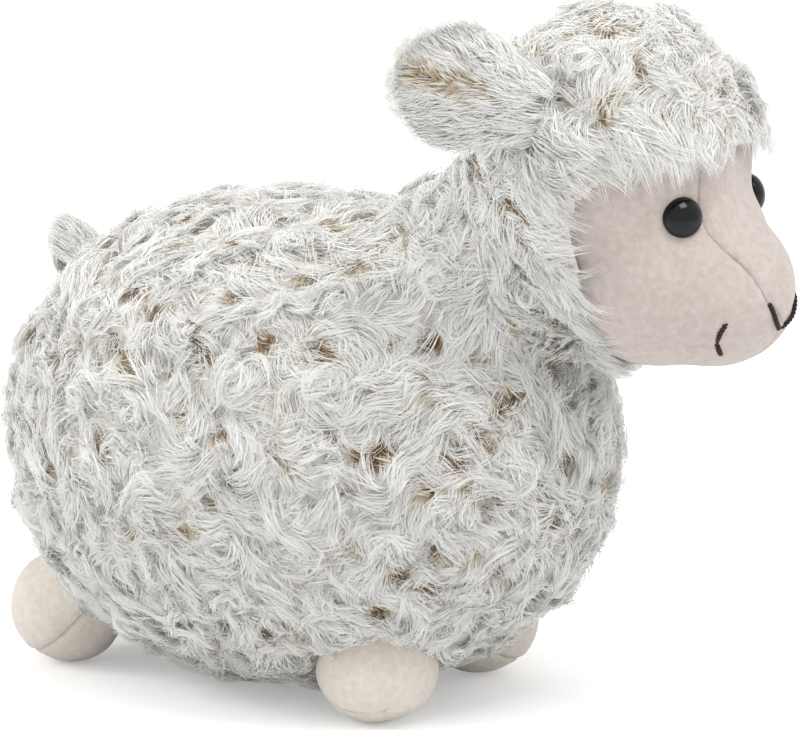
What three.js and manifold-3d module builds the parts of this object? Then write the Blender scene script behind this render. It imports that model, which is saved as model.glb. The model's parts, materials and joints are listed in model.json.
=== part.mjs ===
// A plush sheep that stands on four stub legs and looks along +X. Its body, neck and hood
// are curly fur cloth over stuffing, its face and feet are short-napped cloth, and its eyes
// are glossy domes on shanks, each held by a washer inside the face.
// Millimetres, +Z up. The origin is on the floor, under the middle of the toy's box.
import * as THREE from 'three';
import { ConvexGeometry } from 'three/addons/geometries/ConvexGeometry.js';
import { mergeVertices } from 'three/addons/utils/BufferGeometryUtils.js';
import Module from 'manifold-3d';

const wasm = await Module();
wasm.setup();

// Cloth and the gaps between pieces
const furDepth = 6; // fur cloth with its pile
const napDepth = 2; // short-napped cloth
const seamGap = 0.3; // between two pieces sewn edge to edge
const fillGap = 0.3; // between a cover and what fills it
const runningGap = 0.8; // where the head turns on the neck
const swingGap = 0.5; // where a leg, an ear or the tail swings in its pocket
const overrun = 300; // how far a cutting block reaches past what it cuts

// Body, a swollen egg that narrows a little towards the chest
const bodyLength = 191;
const bodyWidth = 150;
const bodyHeight = 150;
const bodySquareness = 2.25;
const chestTaperShare = 0.04;
const bellyLift = 2.2; // belly fur above the floor, between its tufts

// Tufts, the swirls of the body's fur, in staggered rings along the toy: domes with a
// hollow between each three of them
const tuftSpacing = 25;
const tuftRise = 1.6; // of a dome over the body's form
const tuftDip = 1.6; // of a hollow under it
const ringSpacingShare = 0.87; // of the tufts' spacing

// Belly gusset, whose rounded outline runs through the four legs
const bellyFrontReach = 8; // past the front feet
const bellyBackReach = 4; // past the back feet
const bellyWidth = 56;
const bellySquareness = 3;
const bellyDepth = 30; // of the body's underside that the outline cuts through

// Head, measured from the middle of the body
const headForward = 102;
const headLift = 94;
const hoodRadius = 46;
const skullRadius = 40.5;
// Jaw and nose swell out of the skull, measured from its middle
const jawRadius = 32;
const jawForward = 16;
const jawDrop = 27;
const noseRadius = 22;
const noseForward = 35;
const noseDrop = 35;
const headMiddleShare = 0.5; // of the way to the jaw, from where the head's form swells
const headBlend = 20; // how crisply skull, jaw and nose meet

// Face opening of the hood, the front of a round drum that leans back
const openingRadius = 53;
const openingReach = 32; // from the middle of the skull to the drum's front
const openingLean = 31; // degrees
// Gusset down the middle of the face: half its width, and how far below the skull's middle
const gussetTop = { half: 16.5, drop: -25 };
const gussetBrow = { half: 16.5, drop: 14 };
const gussetBridge = { half: 12, drop: 24 };
const gussetNostril = { half: 8, drop: 34 };
const gussetTip = { half: 1, drop: 43.5 };

// Eyes
const eyeRadius = 6;
const eyeHeight = 4.4;
const shankRadius = 1.5;
const shankLength = 7;
const washerRadius = 5;
const washerThickness = 1.2;
const washerSink = 0.4; // under the cloth, whose inside is hollow there
const eyeAim = new THREE.Vector3(0.76, 0.645, 0.09);

// Threads of the nose and mouth
const threadRadius = 0.6;
const threadGap = 0.5; // over the flat facets of the face
const nostrilAim = new THREE.Vector3(0.904, 0.154, -0.4);
const noseTipAim = new THREE.Vector3(0.842, 0, -0.54);
const mouthAims = [
  new THREE.Vector3(0.778, 0.371, -0.506),
  new THREE.Vector3(0.689, 0.366, -0.624),
  new THREE.Vector3(0.665, 0.291, -0.686),
  new THREE.Vector3(0.679, 0.239, -0.694),
];

// Neck, a short thick tube that leans forward into the head
const neckLean = 48; // degrees from upright
const neckTopRadius = 34;
const neckFootRadius = 38;
const neckStart = 18; // along the neck from the middle of the head
const neckWaist = 45;
const neckFoot = 74;

// Ears, two layers of fur each: one perked up, the other hanging
const earLength = 45;
const earWidth = 34;
const earRootWidth = 18;
const earThickness = 11;
const earRootThickness = 9;
const earBend = 10; // degrees that an ear curls up from root to tip
const earSink = 3; // of the root into the hood
const earRootAim = new THREE.Vector3(0, 0.88, 0.48);
const earSweepBack = 46; // degrees, from straight out to the side
const earLifts = { right: 12, left: -15 };

// Tail, two layers of fur
const tailLength = 20;
const tailWidth = 20;
const tailRootWidth = 16;
const tailThickness = 12;
const tailRootThickness = 9;
const tailSink = 6;
const tailHeightShare = 0.53; // of the body's half height
const tailLean = 30; // degrees back from upright

// Legs: the middle of each foot from the middle of the body, and the way the leg points
const footRadius = 18.5;
const footFlat = 0.8; // cut flat under each foot
const legRootRadius = 13.5;
const legCuff = 4; // from the hip to where the leg's cloth begins
const frontLeg = {
  forward: 40,
  aside: 31,
  length: 22,
  aim: new THREE.Vector3(0.5, 0.62, -0.6),
};
const backLeg = {
  forward: -76,
  aside: 20.5,
  length: 25,
  aim: new THREE.Vector3(-0.72, 0.12, -0.68),
};

// How far the joints move, in degrees
const headTurnLimit = 20;
const headNodDown = 6;
const headNodUp = 12;
const legSwingLimit = 10;
const earSwingBack = 12;
const earSwingFront = 25;
const tailSwingUp = 10;
const tailSwingDown = 25;

// Facets round each kind of form
const bodyFacets = 16;
const bodyRings = 10;
const headFacets = 18;
const headRings = 11; // odd, so no row of corners lies on the middle seam
const neckFacets = 16;
const legFacets = 10;
const domeSteps = 3;
const flapFacets = 8;
const flapSteps = 2;
const flapEndPower = 0.5; // how blunt a flap's ends are
const smallFacets = 12;
const threadFacets = 5;
const threadSteps = 9;
const drumFacets = 32;
const outlinePoints = 20;
const nudgeShare = 0.02; // how far apart places are looked at to find the way the face faces

// Looks
const furCloth = new THREE.MeshStandardMaterial({ color: 0xe9e6e1, roughness: 1 });
const napCloth = new THREE.MeshStandardMaterial({ color: 0xdfd1c6, roughness: 0.95 });
const filling = new THREE.MeshStandardMaterial({ color: 0xf4f4f2, roughness: 1 });
const eyePlastic = new THREE.MeshStandardMaterial({ color: 0x0c0b0c, roughness: 0.12 });
const washerPlastic = new THREE.MeshStandardMaterial({ color: 0xd8d8d4, roughness: 0.5 });
const thread = new THREE.MeshStandardMaterial({ color: 0x3a2018, roughness: 0.8 });

// Places worked out from the sizes
const radians = THREE.MathUtils.degToRad;
const sideways = new THREE.Vector3(0, 1, 0);
const hoodRim = furDepth - napDepth; // how far the hood's fur stands above the jaw's cloth
const floorLevel = -(bodyHeight / 2 + bellyLift);
const head = new THREE.Vector3(headForward, 0, headLift);
const neckAxis = new THREE.Vector3(-Math.sin(radians(neckLean)), 0, -Math.cos(radians(neckLean)));
const sides = { right: -1, left: 1 };
const toy = new THREE.Group();

// Mirrors a direction or place that is given for the left side
const onSide = (vector, side) => new THREE.Vector3(vector.x, vector.y * side, vector.z);

// A closed geometry as a solid that can be joined and cut
function solidOf(geometry, matrix) {
  const bare = geometry.clone();
  bare.deleteAttribute('normal');
  bare.deleteAttribute('uv');
  if (matrix) bare.applyMatrix4(matrix);
  const welded = mergeVertices(bare);
  const corners = welded.index.array;
  const faces = [];
  for (let i = 0; i < corners.length; i += 3) {
    const [a, b, c] = [corners[i], corners[i + 1], corners[i + 2]];
    if (a !== b && b !== c && c !== a) faces.push(a, b, c);
  }
  const vertProperties = welded.attributes.position.array;
  const triVerts = Uint32Array.from(faces);
  return new wasm.Manifold(new wasm.Mesh({ numProp: 3, vertProperties, triVerts }));
}

// A finished solid as a named piece of the toy
function addPiece(name, solid, material) {
  const { vertProperties, triVerts } = solid.getMesh();
  const geometry = new THREE.BufferGeometry();
  geometry.setAttribute('position', new THREE.BufferAttribute(vertProperties, 3));
  geometry.setIndex(new THREE.BufferAttribute(triVerts, 1));
  geometry.computeVertexNormals();
  const piece = new THREE.Mesh(geometry, material);
  piece.name = name;
  toy.add(piece);
}

// Places what was made along +Y so that it starts at a point and runs along a direction
function runFrom(start, direction) {
  const turn = new THREE.Quaternion().setFromUnitVectors(sideways, direction.clone().normalize());
  return new THREE.Matrix4().compose(start, turn, new THREE.Vector3(1, 1, 1));
}

// Turns an outline of [radius, distance along] about an axis
function turned(outline, facets, start, direction) {
  const points = outline.map(([radius, along]) => new THREE.Vector2(radius, along));
  return new THREE.LatheGeometry(points, facets).applyMatrix4(runFrom(start, direction));
}

function ball(radius, centre, facets, rings) {
  return new THREE.SphereGeometry(radius, facets, rings).translate(centre.x, centre.y, centre.z);
}

// A block that fills everything past a plane, on the side that the direction points to
function beyond(point, direction) {
  const block = new THREE.BoxGeometry(overrun, overrun, overrun).translate(0, overrun / 2, 0);
  return solidOf(block, runFrom(point, direction));
}

// Parts a solid along a plane, with half the seam's gap taken from each side
function parted(solid, point, direction) {
  const halfGap = direction.clone().setLength(seamGap / 2);
  const far = solid.intersect(beyond(point.clone().add(halfGap), direction));
  const near = solid.intersect(beyond(point.clone().sub(halfGap), direction.clone().negate()));
  return { far, near };
}

// The room that a form takes as it moves: the hull of its copies in all the given turns
function swept(forms, pivot, turns) {
  const points = [];
  const toPivot = new THREE.Matrix4().makeTranslation(pivot);
  const fromPivot = toPivot.clone().invert();
  for (const turn of turns) {
    const move = toPivot.clone().multiply(turn).multiply(fromPivot);
    for (const form of forms) {
      const place = form.attributes.position;
      for (let i = 0; i < place.count; i += 1) {
        points.push(new THREE.Vector3().fromBufferAttribute(place, i).applyMatrix4(move));
      }
    }
  }
  return solidOf(new ConvexGeometry(points));
}

const turnAbout = (axis, degrees) => new THREE.Matrix4().makeRotationAxis(axis, radians(degrees));

// BODY
// Moves a point of the unit sphere out to the body's form, drawn in by an inset
function onBody({ x, y, z }, inset) {
  const power = [x, y, z].reduce((sum, part) => sum + Math.abs(part) ** bodySquareness, 0);
  const swell = power ** (-1 / bodySquareness);
  const taper = 1 - chestTaperShare * x;
  return new THREE.Vector3(
    x * swell * (bodyLength / 2 - inset),
    y * swell * taper * (bodyWidth / 2 - inset),
    z * swell * taper * (bodyHeight / 2 - inset),
  );
}

// The body's smooth form, with its rings standing along the toy
function bodyForm(inset) {
  const form = new THREE.SphereGeometry(1, bodyFacets, bodyRings);
  form.rotateY(Math.PI / bodyFacets).rotateZ(-Math.PI / 2);
  const place = form.attributes.position;
  for (let i = 0; i < place.count; i += 1) {
    const point = onBody(new THREE.Vector3().fromBufferAttribute(place, i), inset);
    place.setXYZ(i, point.x, point.y, point.z);
  }
  return solidOf(form);
}

// The middles of the tufts on the unit sphere
function tuftMiddles() {
  const halfRound = (Math.PI * (bodyLength + bodyHeight)) / 4;
  const rings = Math.round(halfRound / (tuftSpacing * ringSpacingShare));
  const middles = [];
  for (let ring = 0; ring < rings; ring += 1) {
    const tilt = (Math.PI * (ring + 1 / 2)) / rings;
    const round = Math.PI * bodyHeight * Math.sin(tilt);
    const count = Math.round(round / tuftSpacing);
    for (let i = 0; i < count; i += 1) {
      const turn = (2 * Math.PI * (i + (ring % 2) / 2)) / count;
      const [across, up] = [Math.sin(turn), Math.cos(turn)].map((part) => part * Math.sin(tilt));
      middles.push(new THREE.Vector3(Math.cos(tilt), across, up));
    }
  }
  return middles;
}

// The middles of the facets of a hull
function facetMiddles(points) {
  const place = new ConvexGeometry(points).attributes.position;
  const middles = [];
  for (let i = 0; i < place.count; i += 3) {
    const corners = [i, i + 1, i + 2].map((k) => new THREE.Vector3().fromBufferAttribute(place, k));
    middles.push(corners[0].add(corners[1]).add(corners[2]).normalize());
  }
  return middles;
}

// The body's form with its tufts: the facets of a hull, moved out to the domes and hollows
function tuftedBody() {
  const domes = tuftMiddles();
  const hull = new ConvexGeometry([...domes, ...facetMiddles(domes)]);
  const place = hull.attributes.position;
  for (let i = 0; i < place.count; i += 1) {
    const corner = new THREE.Vector3().fromBufferAttribute(place, i);
    const isDome = domes.some((dome) => dome.distanceTo(corner) < nudgeShare);
    const point = onBody(corner, isDome ? -tuftRise : tuftDip);
    place.setXYZ(i, point.x, point.y, point.z);
  }
  return solidOf(hull);
}

// The neck's form: a tube that runs from inside the head to inside the body, and widens
// below its waist
function neckForm(inset, foot) {
  const widening = (foot - neckWaist) / (neckFoot - neckWaist);
  const lowRadius = THREE.MathUtils.lerp(neckTopRadius, neckFootRadius, widening);
  const outline = [
    [0, neckStart],
    [neckTopRadius - inset, neckStart],
    [neckTopRadius - inset, neckWaist],
    [lowRadius - inset, foot],
    [0, foot],
  ];
  return solidOf(turned(outline, neckFacets, head, neckAxis));
}

// LEGS
// Half the outline of a leg, from behind the hip to the tip of the foot
function legOutline(leg, inset, rootInset) {
  const root = legRootRadius - rootInset;
  const foot = footRadius - inset;
  const outline = [];
  for (let step = 0; step <= domeSteps; step += 1) {
    const angle = (Math.PI / 2) * (step / domeSteps);
    outline.push([root * Math.sin(angle), -root * Math.cos(angle)]);
  }
  for (let step = 0; step <= domeSteps; step += 1) {
    const angle = (Math.PI / 2) * (step / domeSteps);
    outline.push([foot * Math.cos(angle), leg.length + foot * Math.sin(angle)]);
  }
  outline[0][0] = 0;
  outline[outline.length - 1][0] = 0;
  return outline;
}

// The radius of a leg's outline at a distance from the hip, between hip and foot
const legRadius = (leg, along) =>
  legRootRadius + ((footRadius - legRootRadius) * along) / leg.length;

// A leg runs along its frame's y from its hip, and its frame's z is the way its seam faces up
function legPlace(leg, side) {
  const aim = onSide(leg.aim, side).normalize();
  const foot = new THREE.Vector3(leg.forward, leg.aside * side, floorLevel + footRadius - footFlat);
  const hip = foot.clone().addScaledVector(aim, -leg.length);
  const up = new THREE.Vector3(0, 0, 1);
  const seamNormal = up.addScaledVector(aim, -up.dot(aim)).normalize();
  const frame = new THREE.Matrix4().makeBasis(aim.clone().cross(seamNormal), aim, seamNormal);
  return { hip, seamNormal, frame: frame.setPosition(hip) };
}

function legTurned(outline, frame) {
  const points = outline.map(([radius, along]) => new THREE.Vector2(radius, along));
  return new THREE.LatheGeometry(points, legFacets).applyMatrix4(frame);
}

// The pocket in the body that a leg swings in, fore and aft
function legRoom(leg, side) {
  const { hip, frame } = legPlace(leg, side);
  const form = legTurned(legOutline(leg, -swingGap, -swingGap), frame);
  const swings = [-legSwingLimit, 0, legSwingLimit].map((angle) => turnAbout(sideways, angle));
  return swept([form], hip, swings);
}

function addLeg(name, leg, side) {
  const { hip, seamNormal, frame } = legPlace(leg, side);
  const aboveFloor = beyond(new THREE.Vector3(0, 0, floorLevel), new THREE.Vector3(0, 0, 1));
  // The cloth is a cup that opens at the cuff
  const outside = legOutline(leg, 0, 0).filter(([, along]) => along > legCuff);
  const inside = legOutline(leg, napDepth, napDepth).filter(([, along]) => along > legCuff);
  const cuffRadius = legRadius(leg, legCuff);
  const cup = [
    ...inside.reverse(),
    [cuffRadius - napDepth, legCuff],
    [cuffRadius, legCuff],
    ...outside,
  ];
  const cloth = solidOf(legTurned(cup, frame)).intersect(aboveFloor);
  // The seam runs round the foot, between the cloth on top and the sole
  const { far, near } = parted(cloth, hip, seamNormal);
  addPiece(`${name}_foot_upper`, far, napCloth);
  addPiece(`${name}_foot_sole`, near, napCloth);
  // The filling fills the cup, and its bare end is the ball in the hip
  const lining = napDepth + fillGap;
  const fill = legOutline(leg, lining, 0);
  const bareEnd = fill.slice(0, domeSteps + 1);
  const inCup = fill.slice(domeSteps + 1);
  const shoulder = legCuff - seamGap;
  const stuffed = [
    ...bareEnd,
    [legRadius(leg, shoulder), shoulder],
    [legRadius(leg, shoulder) - lining, shoulder],
    ...inCup,
  ];
  addPiece(`${name}_stuffing`, solidOf(legTurned(stuffed, frame)), filling);
}

// FLAPS: ears and tail, each two layers of fur
// A flat flap that starts round at its hinge, widens and ends round, bent in its own plane
function flapForm(flap, grow) {
  const stations = [];
  for (let step = 1; step <= domeSteps; step += 1) {
    const angle = (Math.PI / 2) * (step / domeSteps);
    stations.push({
      along: -(flap.rootThickness / 2 + grow) * Math.cos(angle),
      half: (flap.rootWidth / 2 + grow) * Math.sin(angle) ** flapEndPower,
      thick: (flap.rootThickness / 2 + grow) * Math.sin(angle),
    });
  }
  const tipLength = flap.width / 2;
  for (let step = 1; step <= flapSteps; step += 1) {
    const share = step / flapSteps;
    const ease = share * share * (3 - 2 * share);
    stations.push({
      along: (flap.length - tipLength) * share,
      half: THREE.MathUtils.lerp(flap.rootWidth, flap.width, ease) / 2 + grow,
      thick: THREE.MathUtils.lerp(flap.rootThickness, flap.thickness, ease) / 2 + grow,
    });
  }
  for (let step = 1; step < domeSteps; step += 1) {
    const angle = (Math.PI / 2) * (step / domeSteps);
    stations.push({
      along: flap.length - tipLength + (tipLength + grow) * Math.sin(angle),
      half: (flap.width / 2 + grow) * Math.cos(angle),
      thick: (flap.thickness / 2 + grow) * Math.cos(angle) ** flapEndPower,
    });
  }
  const start = { along: -(flap.rootThickness / 2 + grow), half: 0, thick: 0 };
  const end = { along: flap.length + grow, half: 0, thick: 0 };
  return flapSurface([start, ...stations, end], flap);
}

// Skins the stations of a flap, whose two end stations are points
function flapSurface(stations, flap) {
  const bendRadius = flap.bend ? flap.length / radians(flap.bend) : 0;
  const places = [];
  for (const { along, half, thick } of stations) {
    const bent = bendRadius && along > 0 ? along / bendRadius : 0;
    const spine = bent
      ? [bendRadius * Math.sin(bent), bendRadius * (1 - Math.cos(bent))]
      : [along, 0];
    const count = half > 0 ? flapFacets : 1;
    for (let i = 0; i < count; i += 1) {
      const angle = (2 * Math.PI * (i + 1 / 2)) / flapFacets; // no corner on the flap's edge
      const across = half * Math.cos(angle);
      places.push(
        spine[0] - across * Math.sin(bent),
        spine[1] + across * Math.cos(bent),
        thick * Math.sin(angle),
      );
    }
  }
  const faces = [];
  const last = places.length / 3 - 1;
  const ringCount = stations.length - 2;
  for (let i = 0; i < flapFacets; i += 1) {
    const next = (i + 1) % flapFacets;
    faces.push(0, 1 + next, 1 + i);
    for (let ring = 0; ring < ringCount - 1; ring += 1) {
      const low = 1 + ring * flapFacets;
      const high = low + flapFacets;
      faces.push(low + i, low + next, high + next, low + i, high + next, high + i);
    }
    const top = 1 + (ringCount - 1) * flapFacets;
    faces.push(top + i, top + next, last);
  }
  const surface = new THREE.BufferGeometry();
  surface.setAttribute('position', new THREE.Float32BufferAttribute(places, 3));
  surface.setIndex(faces);
  return surface;
}

// Where a flap stands: its length along x, its width along y and its thickness along z
function flapPlace({ hinge, aim, hingeAxis }) {
  const thick = new THREE.Vector3().crossVectors(aim, hingeAxis);
  const frame = new THREE.Matrix4().makeBasis(aim, hingeAxis, thick);
  return frame.setPosition(hinge);
}

// The pocket that a flap's root swings in, between two angles in degrees about its hinge
function flapRoom(flap, stand, swing) {
  const form = flapForm(flap, swingGap).applyMatrix4(flapPlace(stand));
  const turns = [swing.from, 0, swing.to].map((angle) => turnAbout(stand.hingeAxis, angle));
  return swept([form], stand.hinge, turns);
}

function addFlap(farName, nearName, flap, place) {
  const form = solidOf(flapForm(flap, 0), flapPlace(place));
  const thick = new THREE.Vector3().crossVectors(place.aim, place.hingeAxis);
  const { far, near } = parted(form, place.hinge, thick);
  addPiece(farName, far, furCloth);
  addPiece(nearName, near, furCloth);
}

// HEAD
const jawMiddle = new THREE.Vector3(jawForward, 0, -jawDrop);
const formMiddle = jawMiddle.clone().multiplyScalar(headMiddleShare);
const swells = [
  { centre: new THREE.Vector3(), radius: skullRadius },
  { centre: jawMiddle, radius: jawRadius },
  { centre: new THREE.Vector3(noseForward, 0, -noseDrop), radius: noseRadius },
];

// How far the head's form reaches from its middle in a direction: past the furthest swell,
// and a little more where two of them meet
function headReach(direction) {
  let total = 0;
  for (const { centre, radius } of swells) {
    const toCentre = centre.clone().sub(formMiddle);
    const along = toCentre.dot(direction);
    const inside = radius ** 2 - toCentre.lengthSq() + along ** 2;
    const reach = inside > 0 ? along + Math.sqrt(inside) : 0;
    if (reach > 0) total += reach ** headBlend;
  }
  return total ** (1 / headBlend);
}

// A place on the head in a direction from its middle, lifted off the cloth
function onHead(aim, lift) {
  const direction = aim.clone().normalize();
  return direction.multiplyScalar(headReach(direction) + lift).add(formMiddle).add(head);
}

// The way the cloth faces there
function headNormal(aim) {
  const direction = aim.clone().normalize();
  const across = new THREE.Vector3().crossVectors(direction, new THREE.Vector3(0, 0, 1));
  const over = new THREE.Vector3().crossVectors(across, direction);
  const ahead = onHead(direction.clone().addScaledVector(across, nudgeShare), 0);
  const behind = onHead(direction.clone().addScaledVector(across, -nudgeShare), 0);
  const above = onHead(direction.clone().addScaledVector(over, nudgeShare), 0);
  const below = onHead(direction.clone().addScaledVector(over, -nudgeShare), 0);
  return new THREE.Vector3().crossVectors(above.sub(below), ahead.sub(behind)).normalize();
}

function headSurface(inset) {
  const form = new THREE.SphereGeometry(1, headFacets, headRings);
  const place = form.attributes.position;
  for (let i = 0; i < place.count; i += 1) {
    const point = onHead(new THREE.Vector3().fromBufferAttribute(place, i), -inset);
    place.setXYZ(i, point.x, point.y, point.z);
  }
  return form;
}

const headForm = (inset) => solidOf(headSurface(inset));
const faceSurface = new THREE.Mesh(
  headSurface(0),
  new THREE.MeshStandardMaterial({ side: THREE.DoubleSide }),
);

// What the head needs to turn and nod in, nodding first
function headRoom() {
  const hoodBall = ball(hoodRadius + swingGap, head, headFacets, headRings);
  const jaw = headSurface(-hoodRim - swingGap);
  const turns = [];
  for (const turn of [-headTurnLimit, 0, headTurnLimit]) {
    for (const nod of [-headNodUp, 0, headNodDown]) {
      turns.push(turnAbout(neckAxis, turn).multiply(turnAbout(sideways, nod)));
    }
  }
  return swept([hoodBall, jaw], head, turns);
}

// The drum whose front is the edge of the face opening
function openingDrum(grow) {
  const lean = radians(openingLean);
  const ahead = new THREE.Vector3(Math.cos(lean), 0, -Math.sin(lean));
  const upright = new THREE.Vector3(Math.sin(lean), 0, Math.cos(lean));
  const centre = head.clone().addScaledVector(ahead, openingReach - openingRadius);
  const drum = new THREE.CylinderGeometry(
    openingRadius + grow,
    openingRadius + grow,
    overrun,
    drumFacets,
  );
  return solidOf(drum, runFrom(centre, upright));
}

// The face's middle strip, as a block that runs forward out of the head
function gussetBlock(grow) {
  const rows = [gussetTop, gussetBrow, gussetBridge, gussetNostril, gussetTip];
  const shape = new THREE.Shape();
  shape.moveTo(rows[0].half + grow, -rows[0].drop);
  for (const { half, drop } of rows.slice(1)) shape.lineTo(half + grow, -drop);
  for (const { half, drop } of rows.reverse()) shape.lineTo(-half - grow, -drop);
  const block = new THREE.ExtrudeGeometry(shape, { depth: overrun, bevelEnabled: false });
  const frame = new THREE.Matrix4().makeBasis(
    new THREE.Vector3(0, 1, 0),
    new THREE.Vector3(0, 0, 1),
    new THREE.Vector3(1, 0, 0),
  );
  return solidOf(block, frame.setPosition(head));
}

function rod(radius, from, to, start, direction) {
  const outline = [[0, from], [radius, from], [radius, to], [0, to]];
  return solidOf(turned(outline, smallFacets, start, direction));
}

function eyePlace(side) {
  const aim = onSide(eyeAim, side);
  return { seat: onHead(aim, 2 * fillGap), facing: headNormal(aim) };
}

function addEye(name, side) {
  const { seat, facing } = eyePlace(side);
  const outline = [[0, -shankLength], [shankRadius, -shankLength], [shankRadius, 0]];
  for (let step = 0; step <= domeSteps; step += 1) {
    const angle = (Math.PI / 2) * (step / domeSteps);
    outline.push([eyeRadius * Math.cos(angle), eyeHeight * Math.sin(angle)]);
  }
  outline[outline.length - 1][0] = 0;
  addPiece(`eye_${name}`, solidOf(turned(outline, legFacets, seat, facing)), eyePlastic);
  const top = -(2 * fillGap + napDepth + washerSink + fillGap);
  const bore = shankRadius + fillGap;
  const ring = [
    [bore, top - washerThickness],
    [washerRadius, top - washerThickness],
    [washerRadius, top],
    [bore, top],
    [bore, top - washerThickness],
  ];
  const washer = solidOf(turned(ring, smallFacets, seat, facing));
  addPiece(`eye_washer_${name}`, washer, washerPlastic);
}

// A place on the face's own facets in a direction from the middle of the head's form
function onFacets(aim, lift) {
  const from = formMiddle.clone().add(head);
  const ray = new THREE.Raycaster(from, aim.clone().normalize());
  const hit = ray.intersectObject(faceSurface)[0];
  return hit.point.clone().addScaledVector(hit.face.normal, lift);
}

// A thread that lies on the face along a row of directions
function faceThread(aims) {
  const lift = threadRadius + threadGap;
  const rounded = new THREE.CatmullRomCurve3(aims).getPoints(threadSteps);
  const path = new THREE.CatmullRomCurve3(rounded.map((aim) => onFacets(aim, lift)));
  const section = new THREE.Shape();
  for (let i = 0; i < threadFacets; i += 1) {
    const angle = (2 * Math.PI * i) / threadFacets;
    const [x, y] = [threadRadius * Math.cos(angle), threadRadius * Math.sin(angle)];
    if (i === 0) section.moveTo(x, y);
    else section.lineTo(x, y);
  }
  const options = { steps: threadSteps, extrudePath: path, bevelEnabled: false };
  return solidOf(new THREE.ExtrudeGeometry(section, options));
}

// BUILDING THE TOY
const legs = [
  { name: 'front_right', leg: frontLeg, side: sides.right },
  { name: 'front_left', leg: frontLeg, side: sides.left },
  { name: 'back_right', leg: backLeg, side: sides.right },
  { name: 'back_left', leg: backLeg, side: sides.left },
];
const legRooms = legs.map(({ leg, side }) => legRoom(leg, side));
const ear = {
  length: earLength,
  width: earWidth,
  rootWidth: earRootWidth,
  thickness: earThickness,
  rootThickness: earRootThickness,
  bend: earBend,
};
const tail = {
  length: tailLength,
  width: tailWidth,
  rootWidth: tailRootWidth,
  thickness: tailThickness,
  rootThickness: tailRootThickness,
  bend: 0,
};

function earPlace(name) {
  const side = sides[name];
  const back = radians(earSweepBack);
  const lift = radians(earLifts[name]);
  const aim = new THREE.Vector3(
    -Math.sin(back) * Math.cos(lift),
    side * Math.cos(back) * Math.cos(lift),
    Math.sin(lift),
  );
  const up = new THREE.Vector3(0, 0, 1);
  const hingeAxis = up.addScaledVector(aim, -up.dot(aim)).normalize();
  const root = onSide(earRootAim, side).setLength(hoodRadius - earSink);
  return { aim, hingeAxis, hinge: root.add(head) };
}

function tailPlace() {
  const heightShare = tailHeightShare ** bodySquareness;
  const across = (1 - heightShare) ** (1 / bodySquareness);
  const surface = new THREE.Vector3(
    (-bodyLength / 2) * across,
    0,
    (bodyHeight / 2) * tailHeightShare,
  );
  const outward = surface.clone().normalize();
  const lean = radians(tailLean);
  const aim = new THREE.Vector3(-Math.sin(lean), 0, Math.cos(lean));
  return { aim, hingeAxis: sideways.clone(), hinge: surface.addScaledVector(outward, -tailSink) };
}

// The outline of the belly gusset, as a block under the body
function bellyBlock(grow) {
  const front = frontLeg.forward + bellyFrontReach;
  const back = backLeg.forward - bellyBackReach;
  const halfLength = (front - back) / 2 + grow;
  const halfWidth = bellyWidth / 2 + grow;
  const shape = new THREE.Shape();
  for (let i = 0; i < outlinePoints; i += 1) {
    const angle = (2 * Math.PI * i) / outlinePoints;
    const [x, y] = [Math.cos(angle), Math.sin(angle)];
    const power = Math.abs(x) ** bellySquareness + Math.abs(y) ** bellySquareness;
    const swell = power ** (-1 / bellySquareness);
    const point = [(front + back) / 2 + halfLength * x * swell, halfWidth * y * swell];
    if (i === 0) shape.moveTo(...point);
    else shape.lineTo(...point);
  }
  const block = new THREE.ExtrudeGeometry(shape, { depth: overrun, bevelEnabled: false });
  return solidOf(block.translate(0, 0, bellyDepth - bodyHeight / 2 - overrun));
}

// The far layer of the right ear is its back one, and that of the left ear its front one
const ears = [
  {
    side: 'right',
    layers: ['back', 'front'],
    stand: earPlace('right'),
    swing: { from: -earSwingBack, to: earSwingFront },
  },
  {
    side: 'left',
    layers: ['front', 'back'],
    stand: earPlace('left'),
    swing: { from: -earSwingFront, to: earSwingBack },
  },
];
const tailStand = tailPlace();
const tailRoom = flapRoom(tail, tailStand, { from: -tailSwingDown, to: tailSwingUp });
const room = headRoom();

// Body skin: two side panels that run up into the neck, and the belly gusset
const shell = tuftedBody().add(neckForm(0, neckFoot));
const hollow = bodyForm(furDepth).add(neckForm(furDepth, neckFoot));
let skin = shell.subtract(hollow).subtract(room).subtract(tailRoom);
for (const legPocket of legRooms) skin = skin.subtract(legPocket);
addPiece('belly_panel', skin.intersect(bellyBlock(-seamGap / 2)), furCloth);
const flanks = parted(skin.subtract(bellyBlock(seamGap / 2)), new THREE.Vector3(), sideways);
addPiece('body_panel_left', flanks.far, furCloth);
addPiece('body_panel_right', flanks.near, furCloth);

// Body filling, with a bore for the neck's
const plugFoot = neckFoot - furDepth;
let bodyFill = bodyForm(furDepth + fillGap).subtract(neckForm(furDepth, plugFoot + runningGap));
bodyFill = bodyFill.subtract(tailRoom);
for (const legPocket of legRooms) bodyFill = bodyFill.subtract(legPocket);
addPiece('body_stuffing', bodyFill, filling);
const neckFill = neckForm(furDepth + runningGap, plugFoot).subtract(room);
addPiece('neck_stuffing', neckFill, filling);

// Hood: two fur panels round the back of the head, open at the face
const drumGap = seamGap / 2;
let hood = solidOf(ball(hoodRadius, head, headFacets, headRings)).add(headForm(-hoodRim));
hood = hood.intersect(openingDrum(-drumGap)).subtract(headForm(napDepth));
let headFill = headForm(napDepth + fillGap);
for (const { stand, swing } of ears) {
  const pocket = flapRoom(ear, stand, swing);
  hood = hood.subtract(pocket);
  headFill = headFill.subtract(pocket);
}
const hoods = parted(hood, head, sideways);
addPiece('hood_left', hoods.far, furCloth);
addPiece('hood_right', hoods.near, furCloth);

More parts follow.
